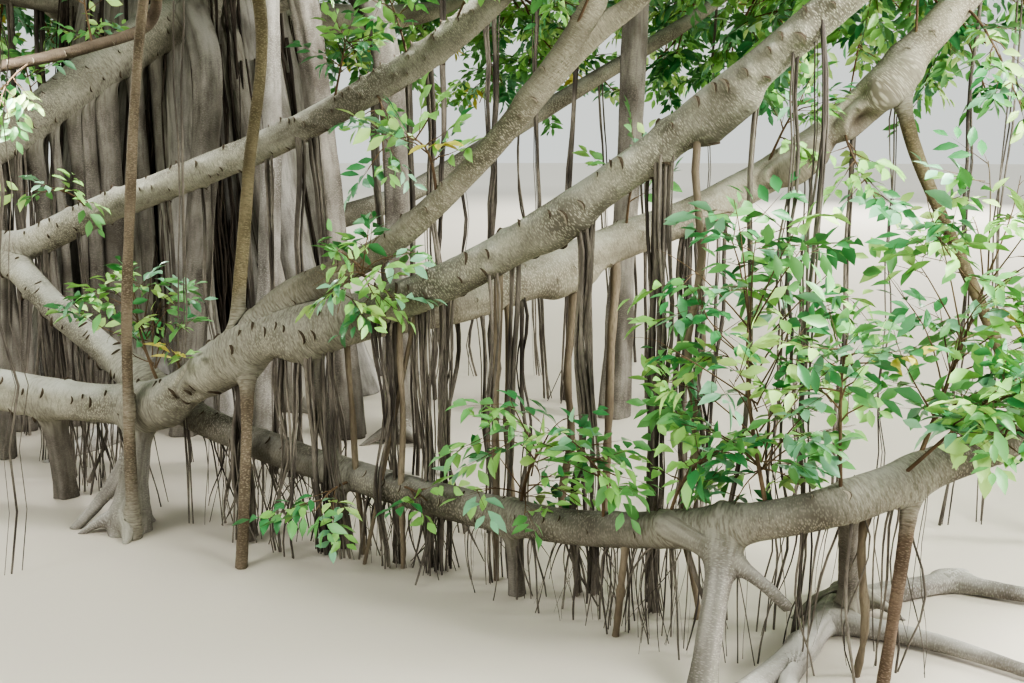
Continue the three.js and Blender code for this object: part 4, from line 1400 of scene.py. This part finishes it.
MASSES = {
    "foliage_twin": crown_mass("twin_bough", -18, "outer"),
    "foliage_long": crown_mass("long_bough", -46, "outer"),
    "foliage_rising": crown_mass("rising_bough", -74, "outer"),
    "foliage_front": crown_mass("front_bough", -106, "outer"),
    "foliage_knee": crown_mass("knee_bough", -140, "outer"),
    "foliage_left": crown_mass("left_high_bough", 180, "outer"),
    "foliage_back_left": crown_mass("back_left_bough", 138, "skirt"),
    "foliage_back": crown_mass("back_bough", 102, "skirt"),
    "foliage_back_right": crown_mass("back_right_bough", 68, "skirt"),
    "foliage_far_right": crown_mass("far_right_bough", 39, "skirt"),
    "foliage_right": crown_mass("right_bough", 11, "skirt"),
    "foliage_top_front": crown_mass("upper_bough", -50, "top"),
    "foliage_top_back": crown_mass("leader_back", 70, "top"),
    "foliage_top_left": crown_mass("leader_left", 190, "top"),
    "foliage_low_right": dict(start=tip_of("low_bough"), centre=(4.95, -3.3, 1.6), half=(0.82, 0.78, 0.64),
                              stem=0.032, branches=24, twigs=5, sprays=4, spray=0.16),
    "shoots_left": shoot((2.03, -3.43, 0.33), (2.08, -3.56, 0.52), (0.34, 0.28, 0.33), 12, 2),
    "shoots_main": shoot((2.73, -3.955, 0.49), (2.69, -3.88, 0.93), (0.4, 0.33, 0.57), 30, 3),
    "shoots_right": shoot((3.16, -3.96, 0.64), (3.34, -3.86, 1.08), (0.34, 0.32, 0.53), 22, 3),
    "bough_spray": shoot((1.45, -3.06, 1.11), (1.5, -3.26, 1.09), (0.3, 0.23, 0.28), 12, 2),
    "left_spray": shoot((0.6, -2.65, 0.56), (0.48, -2.52, 0.88), (0.36, 0.25, 0.24), 13, 2),
}
for mass in MASSES.values():
    for key in ("start", "centre", "half"):
        mass[key] = np.array(mass[key], dtype=float)
print(len(MASSES), "masses")

# %% [markdown]
# A growth rule gives every mass a different but repeatable shape: the golden angle spreads the
# branches evenly, and a seed bends them. Real twigs could be grown by a simulation instead, but a rule
# is quick, and its masses keep to their spaces.

# %% Growth rule
GOLDEN_ANGLE = math.pi * (3 - math.sqrt(5))
all_limbs = [limb for limbs in LIMBS.values() for limb in limbs]


def even_direction(i, count, turn):
    """Even directions round a ball, from its top to its bottom."""
    z = 1 - 2 * (i + 0.5) / count
    angle = i * GOLDEN_ANGLE + turn
    level = math.sqrt(1 - z * z)
    return np.array([level * math.cos(angle), level * math.sin(angle), z])


def depth_in(mass, places):
    return np.linalg.norm((places - mass["centre"]) / mass["half"], axis=-1)


def clear_of_limbs(places, gap):
    """True where a place keeps a gap to every limb."""
    clear = np.ones(len(places), dtype=bool)
    for limb in all_limbs:
        near = np.flatnonzero(np.all((places > limb.low) & (places < limb.high), axis=1))
        if len(near):
            coarse = limb.centre[::4]
            distance = np.linalg.norm(places[near, None] - coarse[None], axis=2)
            clear[near] &= (distance - limb.radius[::4]).min(axis=1) > gap
    return clear


def at_share(path, share):
    """The place at a share of a path."""
    return between(share, np.linspace(0, 1, len(path)), path)


def bent(start, end, chance, lift, points):
    """A twig's path: nearly straight, bent a little and arched."""
    share = np.linspace(0, 1, points)[:, None]
    length = np.linalg.norm(end - start)
    side = chance.normal(0, 0.05 * length, 3)
    arch = np.sin(share * math.pi)
    return start + (end - start) * share + arch * (side + np.array([0, 0, lift * length]))


def grow_mass(mass, seed):
    """Twig paths and spray places of one mass: (paths, rows of place, direction)."""
    chance = np.random.default_rng(seed)
    start, heart, half = mass["start"], mass["centre"], mass["half"]
    axis = heart - start
    stem_end = start + 1.25 * axis
    stem = mass["stem"]
    paths = [(bent(start, stem_end, chance, 0.0, 6), np.linspace(stem, 0.45 * stem, 6))]
    places, directions = [], []
    for i in range(mass["branches"]):
        direction = even_direction(i, mass["branches"], seed)
        reach = np.linalg.norm(half * direction)
        end = heart + direction * half * max(0.35, 0.98 - 0.8 * mass["spray"] / reach)
        projection = (end - start) @ axis / (axis @ axis)
        base = start + axis * np.clip(projection - 0.45, 0.25, 1.15)
        branch = bent(base, end, chance, 0.08, 6)
        if branch[:, 2].min() < 0.03:
            continue
        paths.append((branch, np.linspace(0.38 * stem, 0.14 * stem, 6)))
        run = unit(end - base)
        length = np.linalg.norm(end - base)
        for k in range(mass["twigs"]):
            share = 0.3 + 0.7 * (k + chance.random()) / mass["twigs"]
            root = at_share(branch, share)
            outward = unit(chance.normal(0, 1, 3) + 0.7 * run)
            outward = unit(outward - 0.55 * run * (outward @ run) + 0.45 * run)
            outward[2] *= 0.6
            twig_length = length * chance.uniform(0.2, 0.4) * (1.25 - 0.6 * share)
            tip = root + unit(outward) * twig_length
            if depth_in(mass, tip) > 0.93:
                tip = root + (tip - root) * 0.5
                if depth_in(mass, tip) > 0.95:
                    continue
            twig = bent(root, tip, chance, 0.06, 4)
            paths.append((twig, np.linspace(0.13 * stem, 0.06 * stem, 4)))
            way = unit(tip - root)
            flat = unit(np.cross(way, (0, 0, 1)))
            for m in range(mass["sprays"]):
                at = 0.25 + 0.75 * m / max(1, mass["sprays"] - 1)
                swing = (1 if m % 2 else -1) * chance.uniform(0.5, 1.0) * (m < mass["sprays"] - 1)
                arch = 0.06 * twig_length * math.sin(at * math.pi)
                places.append(root + (tip - root) * at + (0, 0, arch))
                directions.append(unit(way + swing * flat + chance.normal(0, 0.25, 3) - (0, 0, 0.22)))
    return paths, np.array(places), np.array(directions)


BOX_ROOM = 0.08  # metres by which the last leaves may pass the frame's box


def keep_to_space(mass, places, directions):
    """Drops sprays that leave the space, enter another mass, sink or touch a limb."""
    reach = mass["spray"]
    tips = places + directions * reach * 1.25
    furthest = places + directions * reach * 1.7
    own = depth_in(mass, tips)
    good = (own < 1.0) & (tips[:, 2] > 0.08) & (places[:, 2] > 0.06)
    low, high = np.array(cad_low) - BOX_ROOM, np.array(cad_high) + BOX_ROOM
    good &= np.all((furthest > low) & (furthest < high), axis=1)
    for other in MASSES.values():
        if other is not mass:
            good &= own < depth_in(other, tips) + 0.03
    gap = 0.15 * reach
    good &= clear_of_limbs(tips, gap) & clear_of_limbs(places + directions * reach * 0.6, gap)
    return places[good], directions[good]


def grow_sprig(limb_name, x, way, length, count, seed):
    """A short shoot on a bough's bark, with sprays on both sides of its stem."""
    chance = np.random.default_rng(seed)
    limb = LIMBS[limb_name][0]
    i = np.abs(limb.centre[:, 0] - x).argmin()
    way = unit(np.array(way))
    start = limb.centre[i] + 0.8 * limb.radius[i] * way
    end = limb.centre[i] + (limb.radius[i] + length) * way + (0, 0, -0.1 * length)
    stem = bent(start, end, chance, 0.12, 6)
    flat = unit(np.cross(way, (0.1, 0.2, 1)))
    paths, places, directions = [(stem, np.linspace(0.006, 0.0025, 6))], [], []
    for k in range(count):
        root = at_share(stem, 0.35 + 0.65 * k / (count - 1))
        swing = (1 if k % 2 else -1) * chance.uniform(0.6, 1.3) * (k < count - 1)
        direction = unit(way + swing * flat + chance.normal(0, 0.35, 3) - (0, 0, 0.25))
        side_length = chance.uniform(0.02, 0.12) * (k < count - 1)
        tip = root + side_length * direction
        paths.append((bent(root, tip + 0.001 * direction, chance, 0.05, 3), np.linspace(0.003, 0.002, 3)))
        places.append(tip)
        directions.append(direction)
        if side_length > 0.06:
            places.append(root + 0.3 * (tip - root))
            directions.append(unit(direction + chance.normal(0, 0.5, 3)))
    return paths, np.array(places), np.array(directions)


print("branches turn by", round(math.degrees(GOLDEN_ANGLE), 1), "degrees")

# %% [markdown]
# A fig also sprouts from its old wood. Each row below names a bough, where along x the sprig stands,
# which way it grows, how long it is and how many sprays it has. Most stand on the low bough and the
# upper one, where the light comes in. They are listed one by one, because each is seen against the bark
# behind it.

# %% Sprigs on the boughs
# bough, x, the way it grows, length, sprays
SPRIGS = [
    ("long_bough", 0.72, (-0.2, -0.3, 0.9), 0.1, 2),
    ("upper_bough", 1.55, (-0.2, -0.4, 0.8), 0.3, 7),
    ("left_bough", -0.5, (0.1, -0.5, 0.7), 0.26, 6),
    ("low_bough", 1.42, (-0.3, -0.6, -0.1), 0.2, 6),
    ("low_bough", 1.56, (0.4, -0.6, 0.1), 0.2, 5),
    ("low_bough", 2.3, (-0.3, -0.4, 0.9), 0.3, 8),
    ("low_bough", 2.46, (0.3, -0.5, 0.9), 0.32, 8),
    ("low_bough", 2.92, (-0.1, -0.3, 1), 0.5, 11),
    ("low_bough", 3.08, (0.4, -0.5, 0.8), 0.42, 10),
    ("low_bough", 3.3, (0.1, -0.7, 0.7), 0.36, 9),
    ("low_bough", 3.46, (-0.3, -0.5, 0.1), 0.3, 8),
    ("upper_bough", 1.2, (0.2, -0.5, 0.6), 0.36, 8),
    ("upper_bough", 1.4, (0.1, -0.5, -0.5), 0.34, 7),
    ("upper_bough", 1.72, (0.3, -0.5, 0.5), 0.4, 9),
    ("upper_bough", 1.95, (0.5, -0.6, -0.1), 0.36, 8),
    ("upper_bough", 0.05, (-0.3, -0.6, 0.4), 0.22, 5),
    ("thin_left_bough", -0.2, (-0.2, -0.5, -0.5), 0.25, 6),
    ("thin_left_bough", 0.08, (0.1, -0.4, 0.6), 0.3, 7),
    ("left_bough", -0.12, (-0.3, -0.8, 0.2), 0.25, 6),
    ("rising_bough", 2.18, (0.3, -0.4, 0.8), 0.3, 7),
    ("rising_bough", 1.75, (-0.3, -0.5, 0.8), 0.25, 6),
    ("twin_bough", 2.45, (0.1, -0.4, 0.8), 0.32, 7),
    ("twin_bough", 3.0, (0.2, -0.5, 0.7), 0.36, 8),
    ("twin_bough", 3.55, (-0.2, -0.5, 0.6), 0.36, 8),
    ("twin_bough", 3.3, (0.1, -0.6, -0.5), 0.36, 8),
    ("twin_bough", 3.7, (0.2, -0.5, -0.6), 0.42, 10),
    ("twin_bough", 3.95, (0.3, -0.6, -0.4), 0.42, 10),
    ("low_bough", 3.66, (0.0, -0.3, 1), 0.5, 12),
    ("low_bough", 3.88, (-0.2, -0.2, 1), 0.55, 12),
    ("upper_bough", 2.1, (0.4, -0.6, 0.2), 0.36, 8),
]
SPRIG_TIP = 0.16  # metres from a spray's place to its tip
FIRST_SPRIG_SEED = 300
sprig_paths, sprig_places, sprig_directions = [], [], []
for number, sprig in enumerate(SPRIGS):
    paths, places, directions = grow_sprig(*sprig, FIRST_SPRIG_SEED + number)
    tips = places + directions * SPRIG_TIP
    free = clear_of_limbs(tips, 0.02) & (tips[:, 2] > 0.03)
    sprig_paths += paths
    sprig_places.append(places[free])
    sprig_directions.append(directions[free])
sprig_places, sprig_directions = np.vstack(sprig_places), np.vstack(sprig_directions)
print(len(SPRIGS), "sprigs on the boughs with", len(sprig_places), "sprays")

MASS_SEEDS = range(11, 11 + 7 * len(MASSES), 7)
grown = {}
for number, (mass_name, mass) in enumerate(MASSES.items()):
    twig_paths, places, directions = grow_mass(mass, MASS_SEEDS[number])
    places, directions = keep_to_space(mass, places, directions)
    grown[mass_name] = (twig_paths, places, directions)
    print(mass_name, len(twig_paths), "twigs,", len(places), "sprays")

# %% [markdown]
# A spray is a short twig with its leaves set alternately, each pointed, folded along its midrib and
# drooping at the tip. Near the eye a leaf has eight faces and is 5 to 8 cm long. In the crown it has
# four and is larger than life, so that fewer leaves fill the crown.

# %% Leaf blades and sprays
FINE_OUTLINE = ((0.16, 0.24), (0.42, 0.5), (0.72, 0.36))  # share of the length, share of the width
PLAIN_OUTLINE = ((0.32, 0.44), (0.62, 0.42))
STALK = 0.012  # metres between a twig and the blade
TEMPLATES = 8  # of each kind of spray
FIRST_SPRAY_SEED = 40
THIRDS = (0, 2.094, 4.189)  # of a turn, in radians


def fine_blade(length, width, fold, droop):
    """Corners and faces of a blade from x = 0 to its length, with a midrib."""
    corners, faces = [(0, 0, 0)], [(0, 1, 2), (0, 2, 3)]
    for along, half in FINE_OUTLINE:
        height = -droop * along**2 * length
        corners.append((along * length, -half * width, height + fold * half * width))
        corners.append((along * length, 0, height))
        corners.append((along * length, half * width, height + fold * half * width))
    last = len(corners)
    corners.append((length, 0, -droop * length))
    for a in range(1, last - 3, 3):
        faces += [(a, a + 3, a + 4, a + 1), (a + 1, a + 4, a + 5, a + 2)]
    faces += [(last - 3, last, last - 2), (last - 2, last, last - 1)]
    return np.array(corners, dtype=float), faces


def plain_blade(length, width, fold, droop):
    """The same leaf with four faces: two on each side of the midrib."""
    corners = [(0, 0, 0)]
    for along, half in PLAIN_OUTLINE:
        height = fold * half * width - droop * along**2 * length
        corners += [(along * length, sign * half * width, height) for sign in (-1, 1)]
    corners.append((length, 0, -droop * length))
    faces = [(0, 1, 3), (0, 3, 5), (0, 5, 4), (0, 4, 2)]
    return np.array(corners, dtype=float), faces


def turned(corners, yaw, pitch, roll):
    """Turns corners about x, then y, then z."""
    cr, sr, cp, sp, cy, sy = (f(a) for a in (roll, pitch, yaw) for f in (math.cos, math.sin))
    about_x = np.array([[1, 0, 0], [0, cr, -sr], [0, sr, cr]])
    about_y = np.array([[cp, 0, sp], [0, 1, 0], [-sp, 0, cp]])
    about_z = np.array([[cy, -sy, 0], [sy, cy, 0], [0, 0, 1]])
    return corners @ (about_z @ about_y @ about_x).T


def make_spray(name, seed, reach, leaves, leaf_length, blade):
    """A template of leaves along a short twig that points along x."""
    chance = np.random.default_rng(seed)
    corners, faces = [], []
    for k in range(leaves):
        at = reach * (0.15 + 0.85 * k / (leaves - 1))
        length = leaf_length * chance.uniform(0.72, 1.12) * (0.8 if k == leaves - 1 else 1)
        width = length * chance.uniform(0.4, 0.5)
        fold, droop = chance.uniform(0.15, 0.5), chance.uniform(0.05, 0.28)
        leaf, leaf_faces = blade(length, width, fold, droop)
        side = (1 if k % 2 else -1) * (k < leaves - 1)
        yaw = side * chance.uniform(0.65, 1.2) + chance.normal(0, 0.1)
        pitch = chance.normal(0.12, 0.32)
        roll = chance.normal(0, 0.45)
        faces += [tuple(k * len(leaf) + i for i in face) for face in leaf_faces]
        corners.append(turned(leaf + (STALK, 0, 0), yaw, pitch, roll) + (at, 0, 0))
    mesh = new_mesh(name, np.vstack(corners), [], faces)
    mesh.shade_smooth()
    return bpy.data.objects.new(name, mesh)


def make_twiglet(radius):
    """The spray's own short twig: a three-sided spike along x, one metre long before it is scaled."""
    ring = [(0, radius * math.cos(turn), radius * math.sin(turn)) for turn in THIRDS]
    mesh = new_mesh("twiglet", [*ring, (1, 0, 0)], [], [(0, 2, 1), (0, 1, 3), (1, 2, 3), (2, 0, 3)])
    return bpy.data.objects.new("twiglet", mesh)


def template_set(name, things):
    group = bpy.data.collections.new(name)
    for thing in things:
        group.objects.link(thing)
    return group


def spray_set(name, *sizes):
    seeds = range(FIRST_SPRAY_SEED, FIRST_SPRAY_SEED + TEMPLATES)
    return template_set(name, [make_spray(f"{name}_{seed}", seed, *sizes) for seed in seeds])


crown_sprays = spray_set("crown_sprays", CROWN_SPRAY, 8, 0.118, plain_blade)
near_sprays = spray_set("near_sprays", NEAR_SPRAY, 6, 0.074, fine_blade)
twiglets = template_set("twiglets", [make_twiglet(0.013)])

# %% [markdown]
# Leaves of a fig are glossy and leathery and mid green. Some sprays are painted a darker green as shade,
# some yellow-green as sun coming through, and some blue-green as the sky's sheen on a glossier leaf. A
# colour is dealt to each spray, and every colour is a plain material, because a pattern would be lost on
# something so small.

# %% Leaf colours
# name, colour, roughness, share of the sprays
LEAF_ROWS = (
    ("leaf_mid", (110, 163, 98), 0.38, 0.3),
    # a darker green: painted shade
    ("leaf_deep", (78, 136, 86), 0.34, 0.21),
    ("leaf_fresh", (144, 192, 110), 0.42, 0.24),
    # a pale yellow-green: painted sunlight coming through the leaf
    ("leaf_lit", (180, 214, 134), 0.5, 0.13),
    # a glossier leaf, with a blue-green colour painted as the sky's sheen
    ("leaf_glossy", (130, 178, 142), 0.28, 0.11),
    ("leaf_yellow", (206, 194, 104), 0.5, 0.01),
)
LEAF_SHINE = 0.5
LEAF_COLOURS = [
    plain_material(name, paint(*colour), rough, LEAF_SHINE) for name, colour, rough, _ in LEAF_ROWS
]
LEAF_SHARES = [share for *_, share in LEAF_ROWS]
twig_brown = string_material("twig_brown", paint(96, 74, 56), paint(140, 118, 92))
shoot_brown = string_material("shoot_brown", paint(88, 73, 59), paint(122, 104, 84))
print(len(LEAF_COLOURS), "leaf colours")

# %% [markdown]
# One node tree sets a template on every point. It picks the template, turn, size and colour from values
# stored on the points, realizes the copies and deals the materials out. The same could be done in
# Python, copy by copy, but the nodes are quicker and every piece shares them.

# %% A node tree that sets sprays on points
spray_tree, spray_inputs = new_tree(
    "sprays_on_points",
    {"Templates": ("NodeSocketCollection", None), "Plain Material": ("NodeSocketMaterial", None)},
)
spray_in = add_node(spray_tree, "NodeGroupInput").outputs
templates = add_node(
    spray_tree,
    "GeometryNodeCollectionInfo",
    {"Collection": spray_in["Templates"], "Separate Children": True, "Reset Children": True},
)
set_on = add_node(
    spray_tree,
    "GeometryNodeInstanceOnPoints",
    {
        "Points": spray_in["Geometry"],
        "Instance": templates.outputs["Instances"],
        "Pick Instance": True,
        "Instance Index": named_value(spray_tree, "kind", "INT"),
        "Rotation": named_value(spray_tree, "turn", "FLOAT_VECTOR"),
        "Scale": named_value(spray_tree, "size"),
    },
)
set_material = "GeometryNodeSetMaterial"
flow = passed_on(spray_tree, set_on.outputs["Instances"], "GeometryNodeRealizeInstances")
flow = passed_on(spray_tree, flow, set_material, {"Material": spray_in["Plain Material"]})
tint = named_value(spray_tree, "tint", "INT")
for number, material in enumerate(LEAF_COLOURS):
    same = add_node(
        spray_tree, "FunctionNodeCompare", {2: tint, 3: number}, data_type="INT", operation="EQUAL"
    )
    flow = passed_on(spray_tree, flow, set_material, {"Selection": same.outputs[0], "Material": material})
add_node(spray_tree, "NodeGroupOutput", {"Geometry": flow})


def sprays_on(name, group, places, directions, sizes, tints, plain, seed):
    """One piece of sprays at many places. Twigs pass a tint of -1 and take the plain material."""
    chance = np.random.default_rng(seed)
    roll = chance.normal(0, 0.5, len(places))
    pitch = -np.arcsin(np.clip(directions[:, 2], -1, 1))
    yaw = np.arctan2(directions[:, 1], directions[:, 0])
    mesh = new_mesh(name, places)
    keep_values(mesh, "turn", "FLOAT_VECTOR", np.stack([roll, pitch, yaw], axis=1))
    keep_values(mesh, "size", "FLOAT", sizes)
    keep_values(mesh, "kind", "INT", chance.integers(0, len(group.objects), len(places)))
    keep_values(mesh, "tint", "INT", tints)
    choices = {"Templates": group, "Plain Material": plain}
    return made_by(in_scene(name, mesh), spray_tree, spray_inputs, choices)


print("a tree of", len(spray_tree.nodes), "nodes sets sprays on points")

# %% [markdown]
# Each crown mass becomes one piece of leaves and one of twigs. The small shoots near the eye share a
# finer set of leaves. Leaves and twigs stay apart because each kind has its own finish.

# %% Leaves and twigs of every mass
FIRST_DRESS_SEED = 900
SPRIG_SEED = 77


def dress(name, twig_paths, places, directions, spray, near, seed):
    """The leaves and the twigs of one mass, each as one piece."""
    chance = np.random.default_rng(FIRST_DRESS_SEED + seed)
    group, usual, brown, sides = (
        (near_sprays, NEAR_SPRAY, shoot_brown, 5) if near else (crown_sprays, CROWN_SPRAY, twig_brown, 3)
    )
    sizes = chance.uniform(0.85, 1.15, len(places)) * spray / usual
    tints = chance.choice(len(LEAF_COLOURS), len(places), p=LEAF_SHARES)
    leaves = sprays_on(name + "_leaves", group, places, directions, sizes, tints, LEAF_COLOURS[0], seed)
    lengths, no_tint = np.full(len(places), spray), np.full(len(places), -1)
    spikes = sprays_on(name + "_twiglets", twiglets, places, directions, lengths, no_tint, brown, seed)
    twigs = tubes_along(name + "_twigs", twig_paths, brown, sides)
    with opened(twigs.data) as work:
        work.from_mesh(spikes.data)
    bpy.data.objects.remove(spikes)
    return leaves, twigs


leaf_pieces, twig_pieces = {}, {}
for number, (mass_name, mass) in enumerate(MASSES.items()):
    near = mass["spray"] == NEAR_SPRAY
    leaf_pieces[mass_name], twig_pieces[mass_name] = dress(
        mass_name, *grown[mass_name], mass["spray"], near, number
    )
sprig_leaves, sprig_twigs = dress(
    "sprigs", sprig_paths, sprig_places, sprig_directions, NEAR_SPRAY, True, SPRIG_SEED
)
print(sum(len(piece.data.polygons) for piece in leaf_pieces.values()), "faces of leaves")

# %% [markdown]
# The studio: a pale floor, a pale sky of even light, and soft lamps that reach in under the crown the
# way light does at the edge of a tree's shade. A single sun would be simpler, but its hard shadows
# would hide the bark.

# %% Floor, sky and lamps
FLOOR_RADIUS = 140.0
FLOOR_SIDES = 96
floor_rim = [on_circle(0, 360 * k / FLOOR_SIDES, FLOOR_RADIUS, -0.001) for k in range(FLOOR_SIDES)]
floor = in_scene("floor", new_mesh("floor", floor_rim, [], [tuple(range(FLOOR_SIDES))]))
look = Nodes("pale_floor")
place = look.add("ShaderNodeTexCoord").outputs["Object"]
patches = look.ramp(look.noise(place, (0.12, 0.12, 0.12), 2.0), 0.3, 0.7)
distance = look.add("ShaderNodeVectorMath", {0: place}, operation="LENGTH").outputs["Value"]
colour = look.blend(patches, paint(190, 182, 169), paint(198, 190, 178))
# the floor is painted paler with distance: painted light where the lamps' light falls off far from the tree
colour = look.blend(look.ramp(distance, 9.0, 45.0), colour, paint(236, 231, 222))
floor.data.materials.append(look.finish(colour, 0.9, 0.5))

scene.world = bpy.data.worlds.new("pale_sky")
scene.world.use_nodes = True
sky = scene.world.node_tree
feed(sky, sky.nodes["Background"], {"Color": (0.93, 0.97, 0.94, 1), "Strength": 0.8})


def soft_lamp(name, place, aim, size, watts, colour=(1, 1, 1)):
    """A square lamp at a place, turned towards its aim."""
    lamp = in_scene(name, bpy.data.lights.new(name, "AREA"))
    lamp.data.size = size
    lamp.data.energy = watts
    lamp.data.color = colour
    lamp.location = place
    way = np.array(aim) - np.array(place)
    flat = math.hypot(way[0], way[1])
    lamp.rotation_euler = (math.atan2(flat, -way[2]), 0, math.atan2(way[1], way[0]) - math.pi / 2)


soft_lamp("key", (-6.5, -12.0, 7.5), (0.3, -1.8, 2.0), 3.0, 570, (1.0, 0.99, 0.98))
soft_lamp("fill", (9.0, -13.0, 4.5), (2.0, -2.4, 1.6), 5.0, 230)
soft_lamp("side", (24.0, -5.0, 8.5), (2.0, -2.3, 1.6), 5.0, 5600, (1.0, 1.0, 0.98))
soft_lamp("back", (14.0, 22.0, 12.0), (1.5, 0.0, 2.0), 9.0, 5800, (1.0, 1.0, 0.94))
soft_lamp("trunk_light", (-1.7, -4.7, 3.0), (0.4, -1.0, 1.8), 2.0, 75, (1.0, 0.99, 0.98))
soft_lamp("pillar_light", (1.9, -1.9, 2.5), (0.8, -1.2, 1.8), 0.4, 34, (1.0, 1.0, 0.99))
soft_lamp("bough_light", (4.4, -4.6, 3.2), (3.5, -2.6, 2.0), 1.8, 300, (1.0, 1.0, 0.98))
soft_lamp("dapple_left", (-0.3, -2.0, 2.0), (0.2, -2.4, 0.4), 0.25, 12)
soft_lamp("dapple_upper", (0.2, -2.2, 2.5), (0.2, -1.8, 1.3), 0.3, 8)

# %% [markdown]
# The colour transform is the film. AgX keeps the light floor from burning out, and its high contrast
# keeps the gaps of the trunk dark in the same picture.

# %% Film
film = scene.view_settings
film.view_transform = "AgX"
film.look = "AgX - High Contrast"
film.exposure = -0.1
print("film:", film.look)

# %% [markdown]
# Last, every piece is tied to the frame: all ride on its one body, and each that stands for a solid
# of the frame hides that solid.

# %% Tie the pieces to the frame
BODY = "root"


def stand_for(piece, slot, *nodes):
    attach(piece, BODY)
    if nodes:
        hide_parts(*nodes)


PALE = ("prop_front", "prop_light", "pillar_bright", "ground_runner")
for limb_name, piece in wood.items():
    node = "trunk" if limb_name.startswith("trunk") else limb_name
    slot = "pale_bark" if node in PALE else "root_bark" if node in PROPS else "bark"
    stand_for(piece, slot, node)
for mass_name in MASSES:
    stand_for(leaf_pieces[mass_name], "foliage", mass_name)
    stand_for(twig_pieces[mass_name], "root_bark", mass_name)
for piece in (hanging_roots, single_roots, rootlets, trunk_strings, sprig_twigs):
    stand_for(piece, "root_bark")
stand_for(bark_crescents, "bark")
stand_for(sprig_leaves, "foliage")
for group in (crown_sprays, near_sprays, twiglets):
    for template in list(group.objects):
        bpy.data.objects.remove(template)
    bpy.data.collections.remove(group)

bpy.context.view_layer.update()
triangles = sum(
    sum(len(face.vertices) - 2 for face in thing.data.polygons)
    for thing in scene.objects
    if thing.type == "MESH" and not thing.hide_render
)
print("triangles in all:", triangles)
